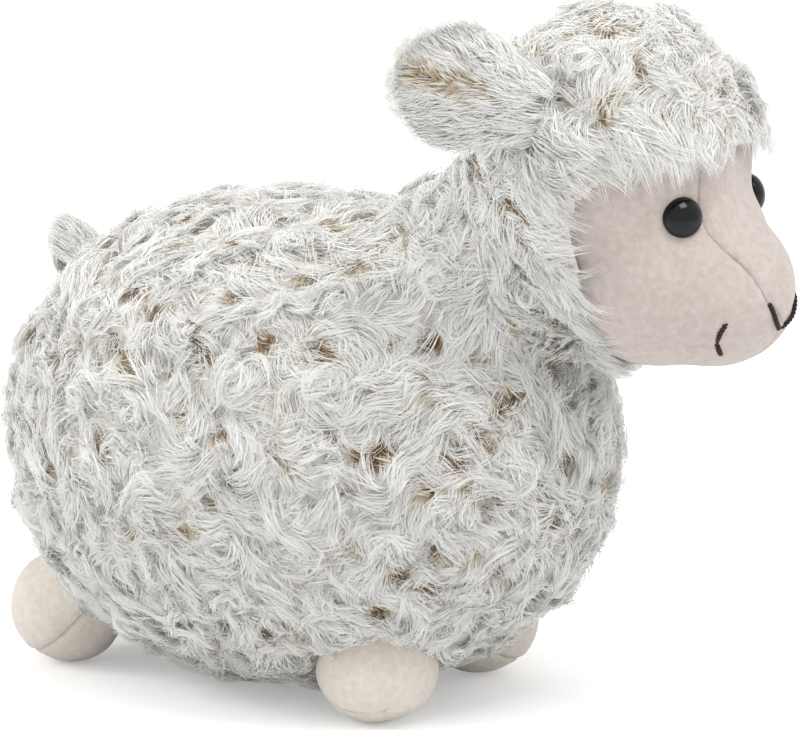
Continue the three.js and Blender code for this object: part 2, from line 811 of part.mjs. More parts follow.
// Face: a middle strip from brow to nose between two cheeks
let face = headForm(0).subtract(headForm(napDepth)).subtract(openingDrum(drumGap));
for (const name of ['right', 'left']) {
  const { seat, facing } = eyePlace(sides[name]);
  face = face.subtract(rod(shankRadius + fillGap, -shankLength, eyeHeight, seat, facing));
  face = face.subtract(rod(eyeRadius + fillGap, -fillGap, eyeHeight, seat, facing));
  const pocket = shankLength + 2 * fillGap;
  headFill = headFill.subtract(rod(eyeRadius + fillGap, -pocket, eyeHeight, seat, facing));
}
addPiece('face_gusset', face.intersect(gussetBlock(-seamGap / 2)), napCloth);
const cheeks = parted(face.subtract(gussetBlock(seamGap / 2)), head, sideways);
addPiece('cheek_left', cheeks.far, napCloth);
addPiece('cheek_right', cheeks.near, napCloth);
addPiece('head_stuffing', headFill, filling);
addPiece('nose_stitch', faceThread([
  onSide(nostrilAim, sides.right),
  noseTipAim,
  onSide(nostrilAim, sides.left),
]), thread);
for (const name of ['right', 'left']) {
  addEye(name, sides[name]);
  const aims = mouthAims.map((aim) => onSide(aim, sides[name]));
  addPiece(`mouth_stitch_${name}`, faceThread(aims), thread);
}
for (const { side, layers, stand } of ears) {
  addFlap(`ear_${side}_${layers[0]}`, `ear_${side}_${layers[1]}`, ear, stand);
}
addFlap('tail_under', 'tail_upper', tail, tailStand);
for (const { name, leg, side } of legs) addLeg(name, leg, side);

// The floor is at zero, and the middle of the toy's box is over the origin
toy.updateMatrixWorld(true);
const box = new THREE.Box3().setFromObject(toy);
const middle = box.getCenter(new THREE.Vector3());
toy.position.set(-middle.x, -middle.y, -floorLevel);

export default toy;
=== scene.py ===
# %% [markdown]
# # A plush sheep with curly fur
#
# The toy stands on four stub feet. Its body, neck, hood, ears and tail are sewn from rosette
# fur: long pile that is steamed into small swirls, so white tips cover tan roots and the
# roots show only where the pile parts. The face and feet are short-napped cloth.
#
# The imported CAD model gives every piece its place. It is in metres, X runs to the nose and Z up.

# %% Load the frame
import itertools
import json
import math

import bmesh
import bpy
import numpy as np
from mathutils import Matrix, Vector


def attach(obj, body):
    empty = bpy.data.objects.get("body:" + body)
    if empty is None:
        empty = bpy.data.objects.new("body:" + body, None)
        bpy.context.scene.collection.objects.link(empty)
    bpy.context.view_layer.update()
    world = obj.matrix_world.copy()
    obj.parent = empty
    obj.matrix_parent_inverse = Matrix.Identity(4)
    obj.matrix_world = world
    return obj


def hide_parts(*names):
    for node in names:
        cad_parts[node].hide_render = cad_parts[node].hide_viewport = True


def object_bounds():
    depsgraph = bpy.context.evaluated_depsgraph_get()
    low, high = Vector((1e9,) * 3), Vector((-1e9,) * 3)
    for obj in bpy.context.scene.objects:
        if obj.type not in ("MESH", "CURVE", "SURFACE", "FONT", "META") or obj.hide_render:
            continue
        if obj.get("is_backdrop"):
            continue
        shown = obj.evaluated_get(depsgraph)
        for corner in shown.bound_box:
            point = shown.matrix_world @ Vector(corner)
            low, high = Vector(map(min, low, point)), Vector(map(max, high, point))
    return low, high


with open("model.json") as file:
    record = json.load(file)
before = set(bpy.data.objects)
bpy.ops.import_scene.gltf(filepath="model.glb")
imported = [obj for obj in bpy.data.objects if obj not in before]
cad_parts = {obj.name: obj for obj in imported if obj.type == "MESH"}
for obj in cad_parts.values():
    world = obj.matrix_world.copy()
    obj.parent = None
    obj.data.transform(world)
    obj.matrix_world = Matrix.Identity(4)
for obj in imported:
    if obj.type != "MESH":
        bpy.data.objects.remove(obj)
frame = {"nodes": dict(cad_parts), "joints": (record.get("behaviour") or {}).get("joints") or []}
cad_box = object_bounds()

MM = 0.001
hinges = {joint["name"]: joint for joint in frame["joints"]}
print("CAD box", [tuple(round(v, 4) for v in corner) for corner in cad_box])

# %% [markdown]
# ## Camera, floor and light
#
# The photo looks at the toy's right side from ahead of it and a little above, with a long lens,
# so the camera stands far off. A studio sweep could be modelled, but a plain floor and a plain
# white surround do the same with less to go wrong, and leave the light on the fur even.

# %% Camera
HEAD = np.array(hinges["head_nod"]["pos_m"])
BODY_MIDDLE = HEAD - np.array([102.0, 0.0, 94.0]) * MM
AZIMUTH = math.radians(30.0)
ELEVATION = math.radians(12.5)
DISTANCE = 1.6
PIXELS_PER_METRE = 3285.0
IMAGE_WIDTH = 800.0
SENSOR = 36.0

view_right = np.array([math.cos(AZIMUTH), math.sin(AZIMUTH), 0.0])
view_up = np.array([
    -math.sin(AZIMUTH) * math.sin(ELEVATION),
    math.cos(AZIMUTH) * math.sin(ELEVATION),
    math.cos(ELEVATION),
])
view_back = np.cross(view_right, view_up)
aim_point = BODY_MIDDLE + (86.0 * view_right + 68.0 * view_up) / PIXELS_PER_METRE

camera_data = bpy.data.cameras.new("photo_camera")
camera_data.sensor_width = SENSOR
camera_data.lens = PIXELS_PER_METRE * DISTANCE * SENSOR / IMAGE_WIDTH
camera_data.clip_end = 20.0
camera = bpy.data.objects.new("photo_camera", camera_data)
turn = Matrix([view_right, view_up, view_back]).transposed().to_4x4()
camera.matrix_world = Matrix.Translation(Vector(aim_point + view_back * DISTANCE)) @ turn
bpy.context.scene.collection.objects.link(camera)
bpy.context.scene.camera = camera
print("lens", round(camera_data.lens, 1), "mm")

# %% Floor, surround and lamps
scene = bpy.context.scene
scene.view_settings.view_transform = "Standard"


def node_material(name):
    """An empty material with its node tree and output."""
    material = bpy.data.materials.new(name)
    material.use_nodes = True
    material.node_tree.nodes.clear()
    return material, material.node_tree


def add(tree, kind, *inputs, **settings):
    """A node of one kind. Its inputs come in order, or by name as in_Name.

    A socket is linked, None leaves the input alone, and anything else is the input's value.
    """
    node = tree.nodes.new(kind)
    given = list(enumerate(inputs))
    for key, value in settings.items():
        if key.startswith("in_"):
            given.append((key[3:].replace("_", " "), value))
        else:
            setattr(node, key, value)
    for key, value in given:
        if isinstance(value, bpy.types.NodeSocket):
            tree.links.new(value, node.inputs[key])
        elif value is not None:
            node.inputs[key].default_value = value
    return node


def maths(tree, operation, *inputs):
    """One step of arithmetic on sockets or numbers."""
    return add(tree, "ShaderNodeMath", *inputs, operation=operation).outputs[0]


def seen_ray(tree):
    """1 for a ray from the camera, off a gloss or through glass, and 0 for a ray of light."""
    path = add(tree, "ShaderNodeLightPath").outputs
    either = maths(tree, "MAXIMUM", path["Is Camera Ray"], path["Is Glossy Ray"])
    return maths(tree, "MAXIMUM", either, path["Is Transmission Ray"])


def flat_plane(name, half, height):
    corners = [(-half, -half, height), (half, -half, height), (half, half, height),
               (-half, half, height)]
    mesh = bpy.data.meshes.new(name)
    mesh.from_pydata(corners, [], [(0, 1, 2, 3)])
    plane = bpy.data.objects.new(name, mesh)
    scene.collection.objects.link(plane)
    return plane


FLOOR_GREY, FLOOR_LIFT = (0.90, 0.90, 0.90, 1.0), 0.30
PURE_WHITE = (1.0, 1.0, 1.0, 1.0)
LIGHT_LEVEL, SEEN_LEVEL = 0.88, 1.0

floor = flat_plane("floor", 6.0, 0.0)
floor_material, tree = node_material("pale_floor")
matt = add(tree, "ShaderNodeBsdfDiffuse", FLOOR_GREY)
lift = add(tree, "ShaderNodeEmission", PURE_WHITE,
           maths(tree, "MULTIPLY", seen_ray(tree), FLOOR_LIFT))
both = add(tree, "ShaderNodeAddShader", matt.outputs[0], lift.outputs[0])
add(tree, "ShaderNodeOutputMaterial", both.outputs[0])
floor.data.materials.append(floor_material)
floor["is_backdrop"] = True

world = bpy.data.worlds.new("surround")
scene.world = world
world.use_nodes = True
tree = world.node_tree
tree.nodes.clear()
level = add(tree, "ShaderNodeMapRange", seen_ray(tree), in_To_Min=LIGHT_LEVEL,
            in_To_Max=SEEN_LEVEL)
background = add(tree, "ShaderNodeBackground", PURE_WHITE, level.outputs[0])
add(tree, "ShaderNodeOutputWorld", background.outputs[0])


def soft_lamp(name, place, target, size, watts):
    lamp = bpy.data.lights.new(name, "AREA")
    lamp.shape = "SQUARE"
    lamp.size = size
    lamp.energy = watts
    holder = bpy.data.objects.new(name, lamp)
    holder.location = place
    holder.rotation_euler = (Vector(target) - Vector(place)).to_track_quat("-Z", "Y").to_euler()
    scene.collection.objects.link(holder)


middle = tuple(BODY_MIDDLE)
soft_lamp("top_lamp", (0.60, -0.25, 1.35), middle, 0.65, 9.0)
soft_lamp("side_lamp", (-1.25, -0.75, 0.85), middle, 0.55, 7.0)

# %% [markdown]
# ## Forms
#
# Each stuffed form is a formula that gives the gap between a point and its surface: below zero
# inside, above zero outside. A sculpted mesh would do for one skin, but here the cloth, the pile,
# the seams and the filling all follow one form at different depths, and a formula serves them all.

# %% Sizes of the forms
BODY_HALF = np.array([95.5, 75.0, 75.0]) * MM
BODY_SQUARENESS = 2.25
CHEST_TAPER = 0.04
TUFT_SPACING = 25.0 * MM
NECK_AXIS = (BODY_MIDDLE - HEAD) / np.linalg.norm(BODY_MIDDLE - HEAD)
NECK_TOP_RADIUS, NECK_FOOT_RADIUS = 34.0 * MM, 38.0 * MM
NECK_WAIST, NECK_FOOT = 45.0 * MM, 74.0 * MM
NECK_FILLET = 8.0 * MM
HOOD_RADIUS = 46.0 * MM
HOOD_RIM = 4.0 * MM
SKULL_RADIUS = 40.5 * MM
JAW = (np.array([16.0, 0.0, -27.0]) * MM, 32.0 * MM)
NOSE = (np.array([35.0, 0.0, -35.0]) * MM, 22.0 * MM)
HEAD_MIDDLE = HEAD + JAW[0] * 0.5
SWELLS = [(HEAD, SKULL_RADIUS), (HEAD + JAW[0], JAW[1]), (HEAD + NOSE[0], NOSE[1])]
HEAD_BLEND = 20.0
OPENING_RADIUS, OPENING_REACH = 53.0 * MM, 32.0 * MM
OPENING_LEAN = math.radians(31.0)


# %% Gap formulas
def length_of(vectors):
    return np.sqrt((vectors * vectors).sum(-1))


def unit(vectors):
    return vectors / np.maximum(length_of(vectors), 1e-12)[..., None]


def smooth_least(a, b, width):
    """The smaller of two gaps, with a fillet of about that width where they meet."""
    mix = np.clip(0.5 + 0.5 * (b - a) / width, 0.0, 1.0)
    return b + (a - b) * mix - width * mix * (1.0 - mix)


def body_gap(points):
    from_middle = points - BODY_MIDDLE
    taper = 1.0 - CHEST_TAPER * np.clip(from_middle[:, 0] / BODY_HALF[0], -1.0, 1.0)
    half = np.stack([np.full_like(taper, BODY_HALF[0]), BODY_HALF[1] * taper,
                     BODY_HALF[2] * taper], -1)
    power = (np.abs(from_middle / half) ** BODY_SQUARENESS).sum(-1)
    swell = np.maximum(power, 1e-9) ** (1.0 / BODY_SQUARENESS)
    return length_of(from_middle) * (1.0 - 1.0 / swell)


def neck_gap(points):
    from_head = points - HEAD
    along = np.clip(from_head @ NECK_AXIS, 0.0, NECK_FOOT)
    share = np.clip((along - NECK_WAIST) / (NECK_FOOT - NECK_WAIST), 0.0, 1.0)
    radius = NECK_TOP_RADIUS + (NECK_FOOT_RADIUS - NECK_TOP_RADIUS) * share
    return length_of(from_head - along[:, None] * NECK_AXIS) - radius


def torso_gap(points):
    return smooth_least(body_gap(points), neck_gap(points), NECK_FILLET)


def head_reach(directions):
    total = np.zeros(len(directions))
    for centre, radius in SWELLS:
        to_centre = centre - HEAD_MIDDLE
        along = directions @ to_centre
        inside = radius ** 2 - to_centre @ to_centre + along ** 2
        reach = np.where(inside > 0, along + np.sqrt(np.maximum(inside, 0.0)), 0.0)
        total += np.maximum(reach, 0.0) ** HEAD_BLEND
    return total ** (1.0 / HEAD_BLEND)


def head_gap(points):
    from_middle = points - HEAD_MIDDLE
    distance = np.maximum(length_of(from_middle), 1e-9)
    return distance - head_reach(from_middle / distance[:, None])


def hood_gap(points):
    ball = length_of(points - HEAD) - HOOD_RADIUS
    return smooth_least(ball, head_gap(points) - HOOD_RIM, 6.0 * MM)


OPENING_AHEAD = np.array([math.cos(OPENING_LEAN), 0.0, -math.sin(OPENING_LEAN)])
OPENING_UPRIGHT = np.array([math.sin(OPENING_LEAN), 0.0, math.cos(OPENING_LEAN)])
OPENING_MIDDLE = HEAD + OPENING_AHEAD * (OPENING_REACH - OPENING_RADIUS)


def past_opening(points):
    """How far a point lies ahead of the edge of the face opening: below zero under the hood."""
    from_middle = points - OPENING_MIDDLE
    upright = (from_middle @ OPENING_UPRIGHT)[:, None] * OPENING_UPRIGHT
    return length_of(from_middle - upright) - OPENING_RADIUS


# %% Legs
FOOT_RADIUS, ROOT_RADIUS = 18.5 * MM, 13.5 * MM
LEGS = {
    "front_right": (22.0 * MM, (0.5, -0.62, -0.6)),
    "front_left": (22.0 * MM, (0.5, 0.62, -0.6)),
    "back_right": (25.0 * MM, (-0.72, -0.12, -0.68)),
    "back_left": (25.0 * MM, (-0.72, 0.12, -0.68)),
}


def leg_gap(points, name):
    length, aim = LEGS[name]
    hip = np.array(hinges[f"{name}_leg_swing"]["pos_m"])
    aim = unit(np.array(aim))
    from_hip = points - hip
    along = np.clip(from_hip @ aim, 0.0, length)
    radius = ROOT_RADIUS + (FOOT_RADIUS - ROOT_RADIUS) * along / length
    return length_of(from_hip - along[:, None] * aim) - radius


def slope_of(gap, points):
    """The way a gap grows fastest: the surface's outward normal, and how steep the gap is."""
    step = 0.05 * MM
    slope = np.empty_like(points)
    for axis in range(3):
        shift = np.zeros(3)
        shift[axis] = step
        slope[:, axis] = (gap(points + shift) - gap(points - shift)) / (2.0 * step)
    return slope


def seated(gap, points, level=0.0, rounds=3):
    """Moves points to where a gap has one level."""
    points = points.copy()
    for _ in range(rounds):
        slope = slope_of(gap, points)
        steep = np.maximum((slope * slope).sum(-1), 1e-6)
        points -= slope * ((gap(points) - level) / steep)[:, None]
    return points


def cast(gap, middle, directions, level=0.0, reach=0.16):
    """Where rays from a form's middle first leave it."""
    near, far = np.zeros(len(directions)), np.full(len(directions), reach)
    for _ in range(26):
        half = (near + far) / 2.0
        inside = gap(middle + directions * half[:, None]) < level
        near = np.where(inside, half, near)
        far = np.where(inside, far, half)
    return middle + directions * near[:, None]


print("head", HEAD.round(4), "neck axis", NECK_AXIS.round(3))

# %% [markdown]
# ## How the pile lies
#
# Rosette fur is combed by its swirls. Each swirl has a middle where the pile parts and from
# which it runs out and round, to the left or to the right. Short partings cross the swirls.
# The same few formulas say which way a lock lies, how high it puffs and how much tan shows,
# so the cloth below and the locks above agree.


# %% Places spread over a form
def spread_over(gap, middle, count, seed):
    """Points spread evenly over a form, with their normals."""
    rng = np.random.default_rng(seed)
    many = count * 4
    order = np.arange(many) + 0.5
    tilt = np.arccos(1.0 - 2.0 * order / many)
    turn = math.pi * (1.0 + 5.0 ** 0.5) * order
    ways = np.stack([np.cos(turn) * np.sin(tilt), np.sin(turn) * np.sin(tilt), np.cos(tilt)], -1)
    ways = unit(ways + rng.normal(0.0, 1.1 / math.sqrt(many), ways.shape))
    points = cast(gap, middle, ways)
    normals = unit(slope_of(gap, points))
    away = points - middle
    area = (away ** 2).sum(-1) / np.maximum((unit(away) * normals).sum(-1), 0.2)
    share = area / area.sum() * count
    keep = rng.random(many) < share
    return points[keep], normals[keep]


def spaced(points, least, seed):
    """Picks points that keep a least distance, in a seeded order."""
    order = np.random.default_rng(seed).permutation(len(points))
    free = np.ones(len(points), bool)
    kept = []
    for index in order:
        if free[index]:
            kept.append(index)
            free &= ((points - points[index]) ** 2).sum(-1) > least ** 2
    return np.array(kept, int)


def body_tufts():
    """The middles of the body's tufts, in the same staggered rings as the CAD's domes."""
    half_round = math.pi * (BODY_HALF[0] + BODY_HALF[2]) / 2
    rings = round(half_round / (TUFT_SPACING * 0.87))
    middles = []
    for ring in range(rings):
        tilt = math.pi * (ring + 0.5) / rings
        count = round(2 * math.pi * BODY_HALF[2] * math.sin(tilt) / TUFT_SPACING)
        for place in range(count):
            turn = 2 * math.pi * (place + (ring % 2) / 2) / count
            middles.append((math.cos(tilt) * BODY_HALF[0],
                            math.sin(turn) * math.sin(tilt) * BODY_HALF[1],
                            math.cos(turn) * math.sin(tilt) * BODY_HALF[2]))
    points = cast(torso_gap, BODY_MIDDLE, unit(np.array(middles)))
    return points[neck_gap(points) > 2.0 * MM]


class Combing:
    """The swirls and partings of one form."""

    def __init__(self, gap, middle, spacing, seed, fixed=None):
        rng = np.random.default_rng(seed)
        points, normals = spread_over(gap, middle, 2400, seed)
        fixed = np.zeros((0, 3)) if fixed is None else fixed
        fixed = fixed + rng.normal(0.0, 2.2 * MM, fixed.shape)
        clear = np.array([(length_of(fixed - point) > spacing * 0.8).all() for point in points])
        own = points[clear][spaced(points[clear], spacing, seed + 1)]
        self.places = np.concatenate([fixed, own])
        self.normals = unit(slope_of(gap, self.places))
        count = len(self.places)
        self.sense = rng.choice([-1.0, 1.0], count)
        self.swirl = rng.uniform(1.3, 2.5, count)
        self.strength = rng.uniform(0.35, 1.3, count)
        self.reach = spacing * 0.5
        self.waves = rng.normal(0.0, 1.0, (6, 3)) * 2.0 * math.pi / (38.0 * MM)
        self.sways = rng.normal(0.0, 0.30, (6, 3))
        self.phases = rng.uniform(0.0, 2.0 * math.pi, 6)
        nearest = np.array([length_of(self.places - point).min() for point in points])
        hollow = nearest > spacing * 0.36
        points, normals = points[hollow], normals[hollow]
        kept = spaced(points, spacing * 0.44, seed + 2)
        middles = points[kept]
        flat = rng.normal(0.0, 1.0, (len(kept), 3))
        flat -= (flat * normals[kept]).sum(-1)[:, None] * normals[kept]
        half = unit(flat) * rng.uniform(1.2, 4.8, len(kept))[:, None] * MM
        self.starts, self.ends = middles - half, middles + half
        self.depth = rng.uniform(0.15, 1.15, len(kept))

    def near_swirls(self, points):
        away = points[:, None, :] - self.places[None, :, :]
        distance = length_of(away)
        pull = np.exp(-((distance / self.reach) ** 2))
        return away, distance, pull

    def near_partings(self, points):
        run = self.ends - self.starts
        share = np.einsum("nmk,mk->nm", points[:, None, :] - self.starts[None], run)
        share = np.clip(share / (run ** 2).sum(-1), 0.0, 1.0)
        away = points[:, None, :] - (self.starts[None] + share[..., None] * run[None])
        return away, length_of(away)

    def lie(self, points, normals):
        """The way the pile lies at each point."""
        away, distance, pull = self.near_swirls(points)
        out = away / np.maximum(distance, 1e-9)[..., None]
        round_about = np.cross(self.normals[None], out) * self.sense[None, :, None]
        angle = self.swirl[None, :, None]
        pull = pull * self.strength
        way = ((np.cos(angle) * out + np.sin(angle) * round_about) * pull[..., None]).sum(1)
        way += np.sin(points @ self.waves.T + self.phases) @ self.sways
        apart, gap = self.near_partings(points)
        push = np.exp(-((gap / (2.2 * MM)) ** 2)) * self.depth
        way += 1.5 * (apart / np.maximum(gap, 1e-9)[..., None] * push[..., None]).sum(1)
        way += 0.10 * np.array([-0.5, 0.0, -1.0])
        way -= (way * normals).sum(-1)[:, None] * normals
        return unit(way)

    def parting(self, points, width=2.1 * MM):
        """How open the pile is: 1 in the middle of a deep parting."""
        gap = self.near_partings(points)[1]
        return (np.exp(-((gap / width) ** 2)) * self.depth).max(1)

    def puff(self, points):
        """How much the pile stands above its mean, from -1 to about 1."""
        _, distance, _ = self.near_swirls(points)
        nearest = np.sort(distance, axis=1)[:, :2]
        first = nearest[:, 0] / self.reach
        crest = np.exp(-(((first - 0.2) / 0.6) ** 2))
        valley = np.exp(-(((nearest[:, 1] - nearest[:, 0]) / (4.0 * MM)) ** 2))
        return crest * 1.6 - 0.7 - 0.4 * valley - 0.5 * self.parting(points, 3.0 * MM)

    def rounded(self, points, normals):
        """The normals of the puffed pile, which turn from one side of a tuft to the other."""
        step = 0.7 * MM
        side = unit(np.cross(normals, [0.31, 0.83, 0.46]))
        other = np.cross(normals, side)
        here = self.puff(points)
        tilt_side = (self.puff(points + side * step) - here) / step
        tilt_other = (self.puff(points + other * step) - here) / step
        tilt = tilt_side[:, None] * side + tilt_other[:, None] * other
        return unit(normals - 2.8 * MM * tilt)


def in_parts(work, points, *others, part=4000):
    """Runs a formula over a long list in parts, to spare memory."""
    results = [work(points[i:i + part], *[other[i:i + part] for other in others])
               for i in range(0, len(points), part)]
    return np.concatenate(results)


torso_combing = Combing(torso_gap, BODY_MIDDLE, TUFT_SPACING, 11, body_tufts())
hood_combing = Combing(hood_gap, HEAD_MIDDLE, 23.0 * MM, 23)
print("swirls", len(torso_combing.places), len(hood_combing.places),
      "partings", len(torso_combing.starts), len(hood_combing.starts))

# %% [markdown]
# ## Finishes
#
# The pile's colour follows each lock from root to tip, so the locks carry a UV map whose V is
# the way along the strand, and an attribute that says how much tan shows. The napped cloth gets
# its mottle, nap and sheen from noise on object coordinates. Both share one group of fine fibre
# noise.

# %% Shared group: cloth fibres
fibre_noise = bpy.data.node_groups.new("fibre_noise", "ShaderNodeTree")
for socket, way in (("Scale", "INPUT"), ("Contrast", "INPUT"),
                    ("Mottle", "OUTPUT"), ("Height", "OUTPUT")):
    fibre_noise.interface.new_socket(socket, in_out=way, socket_type="NodeSocketFloat")
given = add(fibre_noise, "NodeGroupInput").outputs
place = add(fibre_noise, "ShaderNodeTexCoord").outputs["Object"]
coarse = add(fibre_noise, "ShaderNodeTexNoise", in_Vector=place, in_Scale=given["Scale"],
             in_Detail=4.0, in_Roughness=0.6)
finer = maths(fibre_noise, "MULTIPLY", given["Scale"], 4.0)
fine = add(fibre_noise, "ShaderNodeTexNoise", in_Vector=place, in_Scale=finer,
           in_Detail=3.0, in_Roughness=0.7)
centred = maths(fibre_noise, "SUBTRACT", coarse.outputs[0], 0.5)
scaled = maths(fibre_noise, "MULTIPLY", centred, given["Contrast"])
add(fibre_noise, "NodeGroupOutput", maths(fibre_noise, "ADD", scaled, 0.5), fine.outputs[0])


def fibres(tree, scale, contrast):
    """The outputs of one use of the fibre noise."""
    return add(tree, "ShaderNodeGroup", node_tree=fibre_noise, in_Scale=scale,
               in_Contrast=contrast).outputs


def ramp(tree, factor, *stops):
    """The colour that a ramp of (place, colour) stops gives for a factor."""
    node = add(tree, "ShaderNodeValToRGB", factor)
    elements = node.color_ramp.elements
    while len(elements) < len(stops):
        elements.new(0.5)
    for element, (place, colour) in zip(elements, stops):
        element.position = place
        element.color = (*colour, 1.0)
    return node.outputs[0]


def tinted(tree, colour, tint):
    """A colour multiplied by another."""
    mix = add(tree, "ShaderNodeMix", data_type="RGBA", blend_type="MULTIPLY",
              in_Factor=1.0, in_A=colour, in_B=tint)
    return mix.outputs["Result"]


def shaded(tree, colour, roughness, sheen=0.0, specular=0.3, bump=None):
    """The shader of a finish. A bump is (height, strength, distance)."""
    normal = None
    if bump:
        height, strength, distance = bump
        normal = add(tree, "ShaderNodeBump", in_Strength=strength, in_Distance=distance,
                     in_Height=height).outputs[0]
    return add(tree, "ShaderNodeBsdfPrincipled", in_Base_Color=colour, in_Roughness=roughness,
               in_Normal=normal, in_Sheen_Weight=sheen, in_Sheen_Roughness=0.5,
               in_Specular_IOR_Level=specular).outputs[0]


# %% Locks of fur
BROWN, TAN = (0.20, 0.12, 0.055), (0.58, 0.44, 0.26)
CREAM, WHITE = (0.90, 0.875, 0.81), (0.972, 0.970, 0.952)
SLIGHTLY_DULL, CLEAR = (0.97, 0.97, 0.965), (1.0, 1.0, 1.0)
TAN_SHARE = -0.70  # how far an open parting moves a strand's colour towards its root
STRAND_VARIETY = 0.16
LIGHT_THROUGH = 0.27


def fur_material(name, darkest, whiteness=0.29):
    """Pile: it reflects most light and lets some through, so shaded locks stay soft."""
    material, tree = node_material(name)
    uv = add(tree, "ShaderNodeUVMap", uv_map="strand").outputs[0]
    strand = add(tree, "ShaderNodeSeparateXYZ", uv).outputs
    tan = add(tree, "ShaderNodeAttribute", attribute_name="parting").outputs["Fac"]
    along = maths(tree, "MULTIPLY_ADD", tan, TAN_SHARE, strand["Y"])
    own = maths(tree, "MULTIPLY_ADD", strand["X"], STRAND_VARIETY, whiteness)
    pile = ramp(tree, maths(tree, "ADD", along, own),
                (0.0, darkest), (0.16, TAN), (0.36, CREAM), (0.55, WHITE))
    dull = ramp(tree, fibres(tree, 220.0, 0.5)["Mottle"], (0.0, SLIGHTLY_DULL), (1.0, CLEAR))
    colour = tinted(tree, pile, dull)
    shader = shaded(tree, colour, 0.75, sheen=0.15, specular=0.25)
    glow = add(tree, "ShaderNodeBsdfTranslucent", colour).outputs[0]
    mixed = add(tree, "ShaderNodeMixShader", LIGHT_THROUGH, shader, glow)
    add(tree, "ShaderNodeOutputMaterial", mixed.outputs[0])
    return material


def backing_material(name):
    """The fur cloth under the locks: woolly white, and brown where the pile parts."""
    material, tree = node_material(name)
    tan = add(tree, "ShaderNodeAttribute", attribute_name="parting").outputs["Fac"]
    noise = fibres(tree, 900.0, 0.6)
    colour = ramp(tree, maths(tree, "MULTIPLY_ADD", noise["Mottle"], 0.35, tan),
                  (0.2, (0.84, 0.82, 0.77)), (0.5, (0.62, 0.51, 0.36)),
                  (0.95, (0.26, 0.17, 0.09)))
    shader = shaded(tree, colour, 0.95, 0.1, 0.1, (noise["Height"], 0.6, 0.0006))
    add(tree, "ShaderNodeOutputMaterial", shader)
    return material


# %% Napped cloth, thread, eyes, washers and filling
def nap_material(name, light, dark):
    """Short nap: fine mottle, broad faint blotches and sheen."""
    material, tree = node_material(name)
    noise, blotch = fibres(tree, 420.0, 1.6), fibres(tree, 60.0, 1.2)
    nap = ramp(tree, noise["Mottle"], (0.2, dark), (0.8, light))
    wash = ramp(tree, blotch["Mottle"], (0.25, (0.965, 0.94, 0.93)), (0.75, CLEAR))
    shader = shaded(tree, tinted(tree, nap, wash), 0.88, 0.35, 0.2,
                    (noise["Height"], 0.5, 0.0005))
    add(tree, "ShaderNodeOutputMaterial", shader)
    return material


def plain_fibre(name, light, dark, scale, roughness, specular):
    """A finish of one fibre noise, in colour and in bump."""
    material, tree = node_material(name)
    noise = fibres(tree, scale, 1.5)
    colour = ramp(tree, noise["Mottle"], (0.2, dark), (0.8, light))
    shader = shaded(tree, colour, roughness, 0.0, specular, (noise["Height"], 0.4, 0.0003))
    add(tree, "ShaderNodeOutputMaterial", shader)
    return material


def eye_material():
    """Black gloss, with the faint unevenness of moulded plastic."""
    material, tree = node_material("eye_gloss")
    noise = fibres(tree, 300.0, 0.6)
    colour = ramp(tree, noise["Mottle"], (0.2, (0.002, 0.002, 0.0025)),
                  (0.8, (0.006, 0.006, 0.007)))
    rough = add(tree, "ShaderNodeMapRange", noise["Height"], in_To_Min=0.04, in_To_Max=0.09)
    shader = shaded(tree, colour, rough.outputs[0])
    add(tree, "ShaderNodeOutputMaterial", shader)
    return material


fur_locks = fur_material("fur_locks", BROWN)
# The ears' and the tail's locks are the body's pile painted whiter, with a lighter root, as painted
# light.
flap_locks_painted_light = fur_material("flap_locks_painted_light", (0.42, 0.27, 0.11), 0.45)
fur_backing = backing_material("fur_backing")
# The face and the feet are one nap cloth. The face's copy is painted darker than the feet's, as
# painted shade.
face_nap_painted_shade = nap_material("face_nap_painted_shade", (0.625, 0.565, 0.525), (0.52, 0.46, 0.42))
# The feet's copy of the nap cloth is painted lighter than the face's, as painted light.
foot_nap_painted_light = nap_material("foot_nap_painted_light", (0.80, 0.745, 0.67), (0.69, 0.635, 0.57))
stitch_thread = plain_fibre("stitch_thread", (0.055, 0.022, 0.016), (0.012, 0.005, 0.004),
                            2500.0, 0.6, 0.35)
filling_fibre = plain_fibre("filling_fibre", (0.86, 0.86, 0.85), (0.70, 0.70, 0.69),
                            250.0, 0.95, 0.1)
washer_plastic = plain_fibre("washer_plastic", (0.62, 0.62, 0.60), (0.55, 0.55, 0.53),
                             90.0, 0.4, 0.4)
eye_gloss = eye_material()
print("materials", len(bpy.data.materials))

# %% [markdown]
# ## Cloth skins
#
# A fur panel is cut flat, sewn and stuffed. Its stuffed shape is the form itself, so each skin
# is a grid of rays cast from the form's middle to where the cloth lies, split along the sewing
# lines into the same panels as the pattern, and given the cloth's thickness.


# %% Grids and panels
def ring_quads(rows, cols):
    """The quads that join closed rows of points."""
    return np.array([(row * cols + col, (row + 1) * cols + col,
                      (row + 1) * cols + (col + 1) % cols, row * cols + (col + 1) % cols)
                     for row in range(rows) for col in range(cols)])


def ray_grid(turns, tilts, axis, widest=math.pi):
    """Directions in rows round an axis, out to the widest tilt, and the quads between them."""
    axis = unit(np.array(axis, float))
    side = unit(np.cross([0.0, 1.0, 0.0], axis))
    other = np.cross(axis, side)
    tilt = np.repeat(np.linspace(0.0, widest, tilts), turns)
    turn = np.tile(np.arange(turns) * 2.0 * math.pi / turns, tilts)
    ways = (np.cos(tilt)[:, None] * axis + (np.sin(tilt) * np.cos(turn))[:, None] * other
            + (np.sin(tilt) * np.sin(turn))[:, None] * side)
    return ways, ring_quads(tilts - 1, turns)


